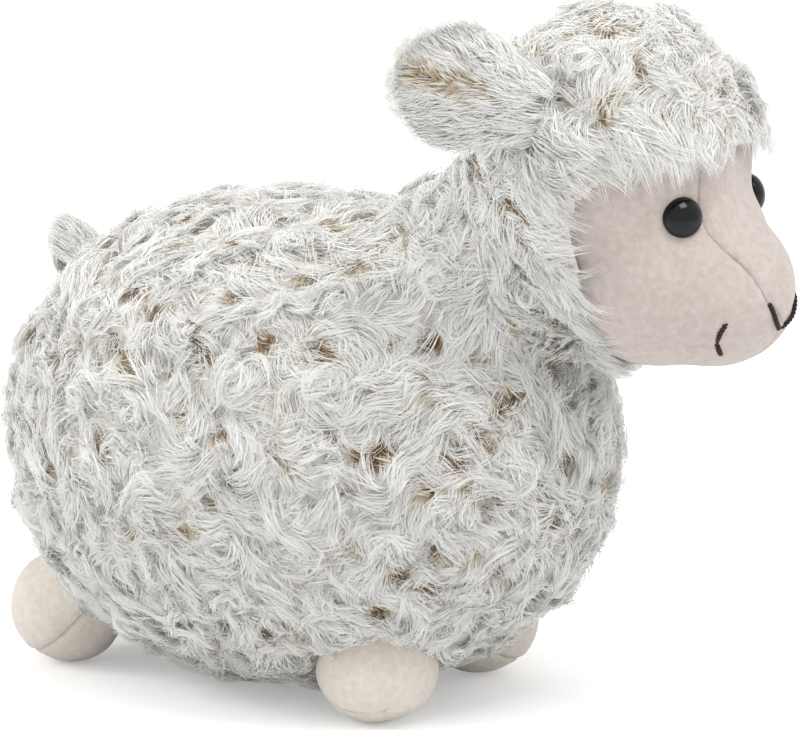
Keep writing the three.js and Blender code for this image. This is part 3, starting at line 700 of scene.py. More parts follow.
def make_piece(name, points, faces, material, partings=None):
    """A smooth mesh object from points and faces, with unused points dropped."""
    used = np.unique(faces)
    renumber = np.full(len(points), -1)
    renumber[used] = np.arange(len(used))
    mesh = bpy.data.meshes.new(name)
    mesh.from_pydata(points[used].tolist(), [], renumber[faces].tolist())
    if partings is not None:
        layer = mesh.attributes.new("parting", "FLOAT", "POINT")
        layer.data.foreach_set("value", partings[used])
    mesh.materials.append(material)
    piece = bpy.data.objects.new(name, mesh)
    scene.collection.objects.link(piece)
    mesh.shade_smooth()
    return piece


def tidy_mesh(piece, merge=0.02 * MM, outward_from=None):
    """Welds doubles, drops empty faces, and turns the faces outwards."""
    shape = bmesh.new()
    shape.from_mesh(piece.data)
    bmesh.ops.remove_doubles(shape, verts=shape.verts, dist=merge)
    bmesh.ops.dissolve_degenerate(shape, dist=merge * 0.5, edges=shape.edges)
    if outward_from is not None:
        centre = Vector(outward_from)
        total = sum((face.calc_center_median() - centre).dot(face.normal) * face.calc_area()
                    for face in shape.faces)
        if total < 0:
            bmesh.ops.reverse_faces(shape, faces=shape.faces)
    shape.to_mesh(piece.data)
    shape.free()


def thicken(piece, depth):
    """Gives an open skin the cloth's thickness, inwards."""
    solidify = piece.modifiers.new("cloth_thickness", "SOLIDIFY")
    solidify.thickness = depth
    solidify.offset = -1.0
    settle(piece)


def settle(piece):
    """Applies a piece's modifiers."""
    graph = bpy.context.evaluated_depsgraph_get()
    mesh = bpy.data.meshes.new_from_object(piece.evaluated_get(graph))
    piece.modifiers.clear()
    old = piece.data
    piece.data = mesh
    bpy.data.meshes.remove(old)
    mesh.name = piece.name


FUR_CLOTH, FLAP_CLOTH, FACE_CLOTH, FOOT_CLOTH = 1.0 * MM, 0.9 * MM, 1.4 * MM, 1.2 * MM


def cut_panels(skin, quads, chosen, material, depth, middle, partings=None):
    """Cuts a skin into its panels, turns them outwards and gives them the cloth's thickness."""
    panels = {}
    for name, mask in chosen.items():
        panels[name] = make_piece(name, skin, quads[mask], material, partings)
        tidy_mesh(panels[name], outward_from=middle)
        thicken(panels[name], depth)
        print(name, len(panels[name].data.polygons), "faces")
    return panels


BELLY_FRONT, BELLY_BACK, BELLY_HALF_WIDTH = 48.0 * MM, -80.0 * MM, 28.0 * MM


def belly_side(points):
    """Below 1 inside the outline of the belly gusset."""
    from_middle = points - BODY_MIDDLE
    along = (from_middle[:, 0] - (BELLY_FRONT + BELLY_BACK) / 2) / ((BELLY_FRONT - BELLY_BACK) / 2)
    across = from_middle[:, 1] / BELLY_HALF_WIDTH
    outline = (np.abs(along) ** 3 + np.abs(across) ** 3) ** (1.0 / 3.0)
    return np.where(from_middle[:, 2] < -40.0 * MM, outline, 9.0)


def legs_apart(points):
    return np.min([leg_gap(points, name) for name in LEGS], axis=0)


# %% Fur cloth of the body
def bare_form(gap, middle, combing, turns, tilts, axis):
    """A form's surface as a grid, with its normals, quads, puffs and partings."""
    ways, quads = ray_grid(turns, tilts, axis)
    surface = cast(gap, middle, ways)
    normals = unit(slope_of(gap, surface))
    return (surface, normals, quads, in_parts(combing.puff, surface),
            in_parts(combing.parting, surface))


CLOTH_LEVEL, CLOTH_PUFF = -3.4 * MM, 1.3 * MM
turns, tilts = ((148, 96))
surface, normals, quads, puffs, partings = bare_form(
    torso_gap, BODY_MIDDLE, torso_combing, turns, tilts, -NECK_AXIS)
flatter = 1.2 * MM * np.clip(normals[:, 2] * 1.6 - 0.3, 0.0, 1.0)
skin = surface + normals * (CLOTH_LEVEL - flatter + CLOTH_PUFF * puffs)[:, None]
centres = skin[quads].mean(1)
shown = (hood_gap(centres) > -7.0 * MM) & (legs_apart(centres) > 0.2 * MM)
in_belly = belly_side(centres) < 1.0
cloth = cut_panels(skin, quads, {
    "body_cloth_right": shown & ~in_belly & (centres[:, 1] < 0),
    "body_cloth_left": shown & ~in_belly & (centres[:, 1] >= 0),
    "belly_cloth": shown & in_belly,
}, fur_backing, FUR_CLOTH, BODY_MIDDLE, partings)

# %% Fur cloth of the hood
RIM_LEVEL = -2.7 * MM
turns, tilts = ((116, 76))
surface, normals, quads, puffs, partings = bare_form(
    hood_gap, HEAD_MIDDLE, hood_combing, turns, tilts, (0.0, 0.0, 1.0))
inland = np.clip(-past_opening(surface) / (8.0 * MM), 0.0, 1.0)
level = CLOTH_LEVEL * inland + RIM_LEVEL * (1.0 - inland) + CLOTH_PUFF * puffs * inland
skin = surface + normals * level[:, None]
shown = (past_opening(skin)[quads] < 0.0).any(1)
over = past_opening(skin) > 0.0
skin[over] = seated(past_opening, skin[over])
centres = skin[quads].mean(1)
cloth.update(cut_panels(skin, quads, {
    "hood_cloth_right": shown & (centres[:, 1] < 0),
    "hood_cloth_left": shown & (centres[:, 1] >= 0),
}, fur_backing, FUR_CLOTH, HEAD_MIDDLE, partings))

# %% [markdown]
# ## Locks of fur
#
# A particle system could grow hair, but a plain mesh is what travels to other programs. So one
# guide line is combed for each lock, stepping over the form the way the pile lies, and a
# Geometry Nodes tree turns every guide into a lock: it copies the line into a few strands,
# spreads them at the root, gathers them at the tip and gives each a flat tapered blade.


# %% How a tree starts and ends
def new_tree(name, inputs):
    """A Geometry Nodes tree with named inputs, and the sockets that give them."""
    tree = bpy.data.node_groups.new(name, "GeometryNodeTree")
    tree.is_modifier = True
    sides = tree.interface
    sides.new_socket("Geometry", in_out="INPUT", socket_type="NodeSocketGeometry")
    for label, kind in inputs.items():
        sides.new_socket(label, in_out="INPUT", socket_type="NodeSocket" + kind)
    sides.new_socket("Geometry", in_out="OUTPUT", socket_type="NodeSocketGeometry")
    return tree, add(tree, "NodeGroupInput").outputs


def end_tree(tree, geometry, material):
    real = add(tree, "GeometryNodeRealizeInstances", geometry)
    finish = add(tree, "GeometryNodeSetMaterial", real.outputs[0], in_Material=material)
    add(tree, "NodeGroupOutput", finish.outputs[0])
    return tree


def vectors(tree, operation, *inputs, scale=None):
    """One step of arithmetic on vectors."""
    return add(tree, "ShaderNodeVectorMath", *inputs, operation=operation,
               in_Scale=scale).outputs[0]


def named(tree, name, kind):
    return add(tree, "GeometryNodeInputNamedAttribute", data_type=kind, in_Name=name).outputs[0]


# %% The lock tree
LOCK_FLATNESS = 0.45
STAGGER = 0.0022
CURL_SCALE = 170.0
CURL_SHIFT = 0.004


def lock_tree():
    tree, given = new_tree("fur_lock", {
        "Strands": "Int", "Spread": "Float", "Tip Gather": "Float", "Frizz": "Float",
        "Blade Width": "Float", "Seed": "Int", "Material": "Material"})

    def per_strand(seed_shift):
        """Three random numbers from -1 to 1 that a strand keeps along its length."""
        value = add(tree, "FunctionNodeRandomValue", data_type="FLOAT_VECTOR",
                    in_Min=(-1.0, -1.0, -1.0), in_Max=(1.0, 1.0, 1.0),
                    in_Seed=maths(tree, "ADD", given["Seed"], float(seed_shift)))
        return add(tree, "GeometryNodeFieldOnDomain", value.outputs[0],
                   data_type="FLOAT_VECTOR", domain="CURVE").outputs[0]

    # Copies of the guide, moved apart at the root and less at the tip
    lines = add(tree, "GeometryNodeMeshToCurve", given["Geometry"])
    copies = add(tree, "GeometryNodeDuplicateElements", lines.outputs[0], domain="SPLINE",
                 in_Amount=given["Strands"])
    along = add(tree, "GeometryNodeSplineParameter").outputs["Factor"]
    side, lie = named(tree, "side", "FLOAT_VECTOR"), named(tree, "lie", "FLOAT_VECTOR")
    own = add(tree, "ShaderNodeSeparateXYZ", per_strand(0)).outputs
    gather = add(tree, "ShaderNodeMapRange", along, in_To_Min=1.0, in_To_Max=given["Tip Gather"])
    spread = maths(tree, "MULTIPLY", gather.outputs[0], given["Spread"])
    sideways = vectors(tree, "SCALE", side, scale=maths(tree, "MULTIPLY", own["X"], spread))
    rise = maths(tree, "MULTIPLY", maths(tree, "MULTIPLY", own["Y"], spread), LOCK_FLATNESS)
    upwards = vectors(tree, "SCALE", lie, scale=rise)
    run = add(tree, "GeometryNodeInputTangent").outputs[0]
    lengthways = vectors(tree, "SCALE", run, scale=maths(tree, "MULTIPLY", own["Z"], STAGGER))
    place = add(tree, "GeometryNodeInputPosition").outputs[0]
    moved = vectors(tree, "ADD", place, vectors(tree, "SCALE", per_strand(7), scale=CURL_SHIFT))
    curl = add(tree, "ShaderNodeTexNoise", in_Vector=moved, in_Scale=CURL_SCALE, in_Detail=1.0)
    frizz = maths(tree, "MULTIPLY", maths(tree, "MULTIPLY", along, 4.0), given["Frizz"])
    wave = vectors(tree, "SUBTRACT", curl.outputs["Color"], (0.5, 0.5, 0.5))
    offset = vectors(tree, "ADD", vectors(tree, "ADD", sideways, upwards),
                     vectors(tree, "ADD", lengthways, vectors(tree, "SCALE", wave, scale=frizz)))
    shift = add(tree, "GeometryNodeSetPosition", copies.outputs["Geometry"], in_Offset=offset)

    # A flat blade on each strand, rolled a little and thinner towards the tip
    roll = add(tree, "ShaderNodeSeparateXYZ", per_strand(13)).outputs
    facing = vectors(tree, "ADD", lie, vectors(tree, "SCALE", side, scale=roll["X"]))
    normal = add(tree, "GeometryNodeSetCurveNormal", shift.outputs[0], mode="FREE",
                 in_Normal=facing)
    strand = add(tree, "GeometryNodeCaptureAttribute", domain="POINT")
    strand.capture_items.new("FLOAT", "along")
    strand.capture_items.new("FLOAT", "which")
    which = maths(tree, "MULTIPLY_ADD", roll["Y"], 0.5, 0.5)
    for key, value in (("Geometry", normal.outputs[0]), ("along", along), ("which", which)):
        tree.links.new(value, strand.inputs[key])
    blade = add(tree, "GeometryNodeCurvePrimitiveLine", in_Start=(0.0, -0.5, 0.0),
                in_End=(0.0, 0.5, 0.0))
    taper = maths(tree, "SUBTRACT", 1.05, maths(tree, "POWER", along, 2.2))
    sweep = add(tree, "GeometryNodeCurveToMesh", strand.outputs["Geometry"], blade.outputs[0],
                in_Scale=maths(tree, "MULTIPLY", taper, given["Blade Width"]))
    across = add(tree, "ShaderNodeCombineXYZ", strand.outputs["which"], strand.outputs["along"])
    uv = add(tree, "GeometryNodeStoreNamedAttribute", sweep.outputs[0], data_type="FLOAT2",
             domain="CORNER", in_Name="strand", in_Value=across.outputs[0])
    return end_tree(tree, uv.outputs[0], given["Material"])


fur_lock = lock_tree()


def apply_tree(piece, tree, values):
    """Adds a tree as a modifier, sets its inputs by identifier, and keeps the result."""
    modifier = piece.modifiers.new(tree.name, "NODES")
    modifier.node_group = tree
    for item in tree.interface.items_tree:
        if item.item_type == "SOCKET" and item.in_out == "INPUT" and item.name in values:
            modifier[item.identifier] = values[item.name]
    settle(piece)


# %% Combing the guides
STEPS = 4
ADVANCE = np.array([0.0, 0.26, 0.62, 1.0])
RISE = np.array([0.0, 0.80, 1.0, 0.86])
ROOT_LEVEL, PUFF_HEIGHT = -3.9 * MM, 2.3 * MM


def comb(roots, normals, gap, combing, seed, length=12.0 * MM, height=3.4 * MM, lie=None,
         stray=0.26):
    """One guide line for each root, with the way its side faces and the way it faces out."""
    rng = np.random.default_rng(seed)
    lie = lie or combing.lie
    open_pile = in_parts(combing.parting, roots)
    puffs = in_parts(combing.puff, roots)
    lengths = length * rng.uniform(0.75, 1.2, len(roots)) * (1.0 - 0.15 * open_pile)
    heights = height + PUFF_HEIGHT * puffs + rng.normal(0.0, 0.45 * MM, len(roots))
    wander = rng.normal(0.0, stray, len(roots))
    curl = rng.normal(0.0, 0.13, len(roots))
    tips = rng.normal(0.0, 0.6 * MM, len(roots))
    surface, facing = roots.copy(), normals.copy()
    guides, sides, outs = [], [], []
    for step in range(STEPS):
        way = in_parts(lie, surface, facing)
        across = np.cross(facing, way)
        turn = wander + curl * step
        way = way * np.cos(turn)[:, None] + across * np.sin(turn)[:, None]
        if step:
            advance = (ADVANCE[step] - ADVANCE[step - 1]) * lengths
            surface = seated(gap, surface + way * advance[:, None], rounds=2)
            facing = unit(slope_of(gap, surface))
        level = ROOT_LEVEL + heights * RISE[step] + (tips if step == STEPS - 1 else 0.0)
        guides.append(surface + facing * np.reshape(level, (-1, 1)))
        sides.append(unit(np.cross(facing, way)))
        outs.append(in_parts(combing.rounded, surface, facing))
    return np.stack(guides, 1), np.stack(sides, 1), np.stack(outs, 1), open_pile


def cell_numbers(points, cell):
    """One number for the small cube each point is in."""
    place = np.floor((points + 1.0) / cell).astype(np.int64)
    return (place[:, 0] << 40) + (place[:, 1] << 20) + place[:, 2]


def bare_places(combed, gap, middle, seed, cell=1.6 * MM, few=7):
    """Roots for extra locks where the combed pile leaves the cloth bare."""
    points, normals = spread_over(gap, middle, 16000, seed)
    flat = seated(gap, combed[0][:, 1:].reshape(-1, 3))
    numbers, counts = np.unique(cell_numbers(flat, cell), return_counts=True)
    own = cell_numbers(points, cell)
    covered = np.zeros(len(points), int)
    for shift in itertools.product((-1, 0, 1), repeat=3):
        wanted = own + (shift[0] << 40) + (shift[1] << 20) + shift[2]
        found = np.minimum(np.searchsorted(numbers, wanted), len(numbers) - 1)
        covered += np.where(numbers[found] == wanted, counts[found], 0)
    bare = covered < few
    print("bare share", round(bare.mean(), 3), "typical cover", np.median(covered))
    chosen = spaced(points[bare], 2.0 * MM, seed)
    return points[bare][chosen], normals[bare][chosen]


def joined(first, second):
    return tuple(np.concatenate([a, b]) for a, b in zip(first, second))


def grow(name, combed, chosen, seed, strands=12, spread=2.0 * MM, width=0.28 * MM,
         frizz=0.22 * MM, gather=0.85, material=None):
    """Turns the chosen guides into one piece of fur."""
    guides, sides, outs, open_pile = (part[chosen] for part in combed)
    count = len(guides)
    mesh = bpy.data.meshes.new(name)
    order = np.arange(count * STEPS).reshape(count, STEPS)
    edges = np.stack([order[:, :-1].ravel(), order[:, 1:].ravel()], -1)
    mesh.from_pydata(guides.reshape(-1, 3).tolist(), edges.tolist(), [])
    for label, values in (("side", sides), ("lie", outs)):
        layer = mesh.attributes.new(label, "FLOAT_VECTOR", "POINT")
        layer.data.foreach_set("vector", values.reshape(-1).astype(np.float32))
    layer = mesh.attributes.new("parting", "FLOAT", "POINT")
    layer.data.foreach_set("value", np.repeat(open_pile, STEPS).astype(np.float32))
    piece = bpy.data.objects.new(name, mesh)
    scene.collection.objects.link(piece)
    apply_tree(piece, fur_lock, {
        "Strands": strands, "Spread": spread, "Tip Gather": gather, "Frizz": frizz,
        "Blade Width": width, "Seed": seed, "Material": material or fur_locks,
    })
    soften(piece)
    print(name, count, "locks", len(piece.data.polygons) * 2, "triangles")
    return piece


def soften(piece):
    """Lets the blades take light as the pile's surface does, with a little of their own turn."""
    mesh = piece.data
    count = len(mesh.vertices)
    facing = np.empty(count * 3, np.float32)
    mesh.attributes["lie"].data.foreach_get("vector", facing)
    facing = facing.reshape(-1, 3)
    own = np.empty(count * 3, np.float32)
    mesh.vertices.foreach_get("normal", own)
    own = own.reshape(-1, 3)
    own *= np.sign((own * facing).sum(-1) + 1e-9)[:, None]
    normals = unit(facing * 0.92 + own * 0.12)
    mesh.shade_smooth()
    mesh.normals_split_custom_set_from_vertices(normals.tolist())
    for label in ("side", "lie"):
        mesh.attributes.remove(mesh.attributes[label])


# %% Fur of the body
LOCK_SPACING = 2.9 * MM


def locks_over(gap, middle, spacing, seed, sample=20000):
    """Roots for locks at about one spacing over a whole form."""
    points = spread_over(gap, middle, sample, seed)[0]
    area = 4.0 * math.pi * np.mean(length_of(points - middle) ** 2)
    return spread_over(gap, middle, int(area / spacing ** 2), seed)


def legs_and_hood_clear(roots):
    """Whether roots on the body are clear of the legs and the hood."""
    return (hood_gap(roots) > -3.0 * MM) & (legs_apart(roots) > 2.0 * MM)


roots, normals = locks_over(torso_gap, BODY_MIDDLE, LOCK_SPACING, 31)
open_pile = in_parts(torso_combing.parting, roots)
keep = legs_and_hood_clear(roots)
keep &= np.random.default_rng(5).random(len(roots)) > 0.2 * open_pile
roots, normals = roots[keep], normals[keep]


def trimmed(roots, length):
    """The pile is shorter where it meets the feet, so it doesn't hang over them."""
    return length * np.clip(0.2 + legs_apart(roots) / (16.0 * MM), 0.3, 1.0)


CHIN_FLUFF = BODY_MIDDLE + np.array([103.0, 0.0, 32.0]) * MM


def settled_height(roots, normals):
    """The pile lies flatter on the back than on the flanks, and fluffs out under the chin."""
    flatter = 1.7 * np.clip(normals[:, 2] * 1.6 - 0.3, 0.0, 1.0)
    fuller = 6.0 * np.exp(-((length_of(roots - CHIN_FLUFF) / (20.0 * MM)) ** 2))
    return (3.4 - flatter + fuller) * MM


combed = comb(roots, normals, torso_gap, torso_combing, 41, trimmed(roots, 12.0 * MM),
              settled_height(roots, normals))
more, more_normals = bare_places(combed, torso_gap, BODY_MIDDLE, 35)
keep = legs_and_hood_clear(more)
more, more_normals = more[keep], more_normals[keep]
combed = joined(combed, comb(more, more_normals, torso_gap, torso_combing, 42,
                             trimmed(more, 8.0 * MM), settled_height(more, more_normals) - 0.3 * MM,
                             stray=1.3))
roots = np.concatenate([roots, more])
# The belly's pile stops short of the table
ABOVE_TABLE = 2.6 * MM
combed[0][..., 2] = np.maximum(combed[0][..., 2], ABOVE_TABLE)
print("locks", len(roots), "of them on bare places", len(more))
fur = {}
under = belly_side(roots) < 1.0
along = roots[:, 0] - BODY_MIDDLE[0]
for side, sign in (("right", -1.0), ("left", 1.0)):
    beside = ~under & (roots[:, 1] * sign > 0)
    quarters = np.quantile(along[beside], [0.25, 0.5, 0.75])
    zone = np.digitize(along, quarters)
    for number, label in enumerate(("rear", "flank", "shoulder", "neck")):
        name = f"body_fur_{side}_{label}"
        fur[name] = grow(name, combed, beside & (zone == number), 50 + number)
fur["belly_fur"] = grow("belly_fur", combed, under, 60)

# %% Fur of the hood
roots, normals = locks_over(hood_gap, HEAD_MIDDLE, LOCK_SPACING * 0.94, 33)
open_pile = in_parts(hood_combing.parting, roots)
keep = (torso_gap(roots) > -2.5 * MM) & (past_opening(roots) < -0.5 * MM)
keep &= np.random.default_rng(6).random(len(roots)) > 0.2 * open_pile
roots, normals = roots[keep], normals[keep]
edge, edge_normals = locks_over(hood_gap, HEAD_MIDDLE, 1.7 * MM, 37, 40000)
keep = (np.abs(past_opening(edge) + 3.2 * MM) < 3.2 * MM) & (torso_gap(edge) > -2.5 * MM)
edge, edge_normals = edge[keep], edge_normals[keep]


def hood_lie(points, normals):
    """The hood's pile lies as its swirls say, and leans over the edge of the face opening."""
    way = hood_combing.lie(points, normals)
    near = np.exp(-(np.clip(past_opening(points) / (8.0 * MM), -9.0, 0.0) ** 2))[:, None]
    over = OPENING_AHEAD * 2.4 + np.array([0.0, 0.0, -0.4])
    way = way + near * over
    way -= (way * normals).sum(-1)[:, None] * normals
    return unit(way)


hinge = np.array(hinges["ear_right_swing"]["pos_m"])
from_ear = np.minimum(length_of(roots - hinge), length_of(roots - hinge * [1.0, -1.0, 1.0]))
height = (3.4 - 1.2 * np.clip(normals[:, 2], 0.0, 1.0)) * MM
height += 4.6 * MM * np.exp(-((from_ear / (19.0 * MM)) ** 2))
combed = comb(roots, normals, hood_gap, hood_combing, 43, height=height, lie=hood_lie)
more, more_normals = bare_places(combed, hood_gap, HEAD_MIDDLE, 36)
keep = (torso_gap(more) > -2.5 * MM) & (past_opening(more) < -1.0 * MM)
more, more_normals = more[keep], more_normals[keep]
combed = joined(combed, comb(more, more_normals, hood_gap, hood_combing, 44, 7.5 * MM,
                             3.0 * MM, stray=1.3))
rim_length = np.random.default_rng(45).uniform(5.5, 10.0, len(edge)) * MM
beneath = np.clip((HEAD[2] - 25.0 * MM - edge[:, 2]) / (15.0 * MM), 0.0, 1.0)
corner = np.exp(-(((edge[:, 2] - HEAD[2] - 12.0 * MM) / (16.0 * MM)) ** 2))
beside = np.clip((np.abs(edge[:, 1]) - 12.0 * MM) / (10.0 * MM), 0.0, 1.0)
rim_length += (4.0 * beneath + (1.2 * corner + 3.6) * beside) * MM
combed = joined(combed, comb(edge, edge_normals, hood_gap, hood_combing, 46, rim_length,
                             3.7 * MM, hood_lie))
roots = np.concatenate([roots, more, edge])
print("locks", len(roots), "on bare places", len(more), "along the edge", len(edge))
for side, sign in (("right", -1.0), ("left", 1.0)):
    beside = roots[:, 1] * sign > 0
    name = f"hood_fur_{side}"
    fur[name] = grow(name, combed, beside, 71)

# %% [markdown]
# ## Ears and tail
#
# Each ear is two layers of fur cloth sewn round their edge and turned out, so it is a flat
# flap that widens from a narrow root. The right one is perked up and cupped towards the front.
# The tail is the same kind of flap, short and tufty.


# %% Flaps
class Flap:
    """A flap that runs along its frame's x from its hinge, with its thickness along z."""

    def __init__(self, length, width, root_width, thick, root_thick, bend, hinge, aim, up, cup=0.0):
        self.length, self.width, self.root_width = length, width, root_width
        self.thick, self.root_thick, self.bend, self.cup = thick, root_thick, bend, cup
        self.hinge, self.aim, self.up = hinge, unit(aim), unit(up)
        self.depth = np.cross(self.aim, self.up)
        self.middle = self.place(np.array([[length * 0.5, 0.0, 0.0]]))[0]

    def place(self, flat):
        """From the flap's own straight frame to the toy's."""
        along, across, deep = flat[:, 0], flat[:, 1], flat[:, 2]
        cup = self.cup * (across / (self.width / 2)) ** 2
        deep = deep + cup * np.clip(along / self.length, 0, 1)
        turn = np.clip(along, 0.0, None) / self.length * self.bend
        radius = self.length / self.bend
        spine_x = np.where(along > 0, radius * np.sin(turn), along)
        spine_y = np.where(along > 0, radius * (1.0 - np.cos(turn)), 0.0)
        local_x = spine_x - across * np.sin(turn)
        local_y = spine_y + across * np.cos(turn)
        return (self.hinge + local_x[:, None] * self.aim + local_y[:, None] * self.up
                + deep[:, None] * self.depth)

    def grid(self, rows, cols, shrink):
        """Rows of points round the flap, drawn in by the pile, and the quads between them."""
        points = []
        tip = self.width / 2 - shrink
        straight = self.length - self.width / 2
        for row in range(rows + 1):
            share = row / rows
            if share < 0.55:
                part = share / 0.55
                ease = part * part * (3.0 - 2.0 * part)
                along = straight * part
                half = (self.root_width + (self.width - self.root_width) * ease) / 2 - shrink
                thick = (self.root_thick + (self.thick - self.root_thick) * ease) / 2 - shrink
            else:
                angle = (share - 0.55) / 0.45 * math.pi / 2
                along = straight + tip * math.sin(angle)
                half = tip * math.cos(angle)
                thick = (self.thick / 2 - shrink) * math.cos(angle) ** 0.6
            for col in range(cols):
                turn = 2.0 * math.pi * col / cols
                points.append((along, half * math.cos(turn), thick * math.sin(turn)))
        return np.array(points), ring_quads(rows, cols)


def flap_frame(joint, aim, up_hint):
    hinge = np.array(hinges[joint]["pos_m"])
    aim = unit(np.array(aim))
    up = np.array(up_hint) - (np.array(up_hint) @ aim) * aim
    return hinge, aim, unit(up)


def ear_aim(side, sweep, lift):
    sweep, lift = math.radians(sweep), math.radians(lift)
    return (-math.sin(sweep) * math.cos(lift), side * math.cos(sweep) * math.cos(lift),
            math.sin(lift))


EAR = dict(length=45.0 * MM, width=34.0 * MM, root_width=18.0 * MM, thick=11.0 * MM,
           root_thick=9.0 * MM, bend=math.radians(10.0))
TAIL = dict(length=20.0 * MM, width=20.0 * MM, root_width=16.0 * MM, thick=12.0 * MM,
            root_thick=9.0 * MM, bend=math.radians(0.5))
hinge, aim, up = flap_frame("ear_right_swing", ear_aim(-1.0, 46.0, 12.0), (0, 0, 1))
right_ear = Flap(**EAR, hinge=hinge, aim=aim, up=up, cup=-4.0 * MM)
hinge, aim, up = flap_frame("ear_left_swing", ear_aim(1.0, 46.0, -15.0), (0, 0, 1))
left_ear = Flap(**EAR, hinge=hinge, aim=aim, up=up, cup=4.0 * MM)
hinge, aim, up = flap_frame("tail_lift", (-math.sin(math.radians(30.0)), 0.0,
                                          math.cos(math.radians(30.0))), (0, 1, 0))
tail = Flap(**TAIL, hinge=hinge, aim=aim, up=up)


FLAP_TAN = 0.15


def make_flap(flap, far_name, near_name, far_fur, near_fur, seed, parting_at=None):
    """Two cloth layers and the fur on each."""
    rows, cols = 22, 36
    flat, faces = flap.grid(rows, cols, 2.2 * MM)
    placed = flap.place(flat)
    depth = flat[faces].mean(1)[:, 2]
    made = cut_panels(placed, faces, {far_name: depth > 0, near_name: depth <= 0}, fur_backing,
                      FLAP_CLOTH, flap.middle, np.full(len(placed), FLAP_TAN))
    rng = np.random.default_rng(seed)
    count = int(flap.length * flap.width * 2.2 / (1.8 * MM) ** 2)
    share = rng.random((count, 2))
    row = (share[:, 0] ** 0.8) * (rows - 0.01)
    col = share[:, 1] * cols
    low, part = row.astype(int), row % 1.0
    ahead = np.minimum(low + 1, rows)

    def sample(row_index, column):
        first = flat[row_index * cols + column.astype(int) % cols]
        second = flat[row_index * cols + (column.astype(int) + 1) % cols]
        return first + (second - first) * (column % 1.0)[:, None]

    base = sample(low, col) * (1.0 - part)[:, None] + sample(ahead, col) * part[:, None]
    # Outwards in the flap's flat frame, flatter than the flap is thin
    out = np.stack([np.clip((base[:, 0] - flap.length * 0.62) / (flap.width / 2), 0.0, 1.0) * 0.8,
                    base[:, 1] / (flap.width / 2) * 0.9,
                    np.sign(base[:, 2]) * 0.9 + base[:, 2] / flap.thick], -1)
    out = unit(out)
    fan = base[:, 1] / (flap.width / 2)
    way = np.stack([np.full(count, 0.9), fan * 0.8, np.zeros(count)], -1)
    opened = np.zeros(count)
    if parting_at is not None:
        line_y, sign, strength = parting_at
        on_front = np.sign(base[:, 2]) == sign
        apart = (base[:, 1] - line_y(base[:, 0])) / (5.5 * MM)
        away = np.exp(-apart ** 2) * on_front * np.clip(base[:, 0] / flap.length * 3 - 0.4, 0, 1)
        opened = away * strength
        way[:, 1] += np.sign(apart) * away * 0.35
    way += rng.normal(0.0, 0.22, way.shape)
    way -= (way * out).sum(-1)[:, None] * out
    way = unit(way)
    fluff = np.exp(-((base[:, 0] / (0.42 * flap.length)) ** 2))
    lengths = (rng.uniform(6.0, 9.0, count) + 4.0 * fluff) * MM
    levels = np.array([-0.3, 1.3, 1.9, 1.5])[:, None] * MM * (1.0 + 1.6 * fluff)
    guides, sides, outs = [], [], []
    for step in range(STEPS):
        flat_points = base + way * (ADVANCE[step] * lengths)[:, None]
        bulge = rng.normal(0.0, 0.25 * MM, count) if step else 0.0
        flat_points = flat_points + out * (levels[step] + bulge)[:, None]
        flat_points -= out * ((ADVANCE[step] * lengths) ** 2 / 0.05)[:, None]
        here = flap.place(flat_points)
        ahead_point = flap.place(flat_points + out * 0.2 * MM)
        along_point = flap.place(flat_points + way * 0.2 * MM)
        facing = unit(ahead_point - here)
        guides.append(here)
        outs.append(facing)
        sides.append(unit(np.cross(facing, along_point - here)))
    combed = (np.stack(guides, 1), np.stack(sides, 1), np.stack(outs, 1), opened)
    for name, chosen in ((far_fur, base[:, 2] > 0), (near_fur, base[:, 2] <= 0)):
        made[name] = grow(name, combed, chosen, seed, strands=10, spread=1.3 * MM,
                          frizz=0.3 * MM, material=flap_locks_painted_light)
    return made


EAR_TAN = 0.95


def ear_parting(along):
    """How far the tan streak lies from the ear's middle line, from its root to its tip."""
    return 3.0 * MM - along * 0.08


made_right = make_flap(right_ear, "ear_right_back_cloth", "ear_right_front_cloth",
                       "ear_right_back_fur", "ear_right_front_fur", 81,
                       parting_at=(ear_parting, -1.0, EAR_TAN))
made_left = make_flap(left_ear, "ear_left_front_cloth", "ear_left_back_cloth",
                      "ear_left_front_fur", "ear_left_back_fur", 83,
                      parting_at=(ear_parting, 1.0, EAR_TAN))
made_tail = make_flap(tail, "tail_under_cloth", "tail_upper_cloth", "tail_under_fur",
                      "tail_upper_fur", 85)

# %% [markdown]
# ## Face
#
# Three pieces of napped cloth: a gusset from the brow to the nose and a cheek on each side.
# A seam pulls the cloth in, so the form dips along each sewing line and swells between them.

# %% Face skin
SEAM_DEPTH, SEAM_WIDTH = 0.75 * MM, 1.0 * MM
EYE_AIM = np.array([0.76, 0.645, 0.09])
GUSSET_DROPS = np.array([-25.0, 5.0, 15.0, 20.0, 25.0, 33.5, 36.5, 44.0]) * MM
GUSSET_HALVES = np.array([16.5, 16.3, 17.0, 14.8, 13.0, 9.8, 8.2, 1.0]) * MM


def gusset_half(points):
    drop = HEAD[2] - points[:, 2]
    return np.interp(drop, GUSSET_DROPS, GUSSET_HALVES, right=0.0)


def face_seams(points):
    """How far a point on the face is from the nearest sewing line."""
    half = gusset_half(points)
    beside = np.abs(np.abs(points[:, 1]) - half) * 0.85
    return np.where(half > 0.0, beside, np.abs(points[:, 1]))


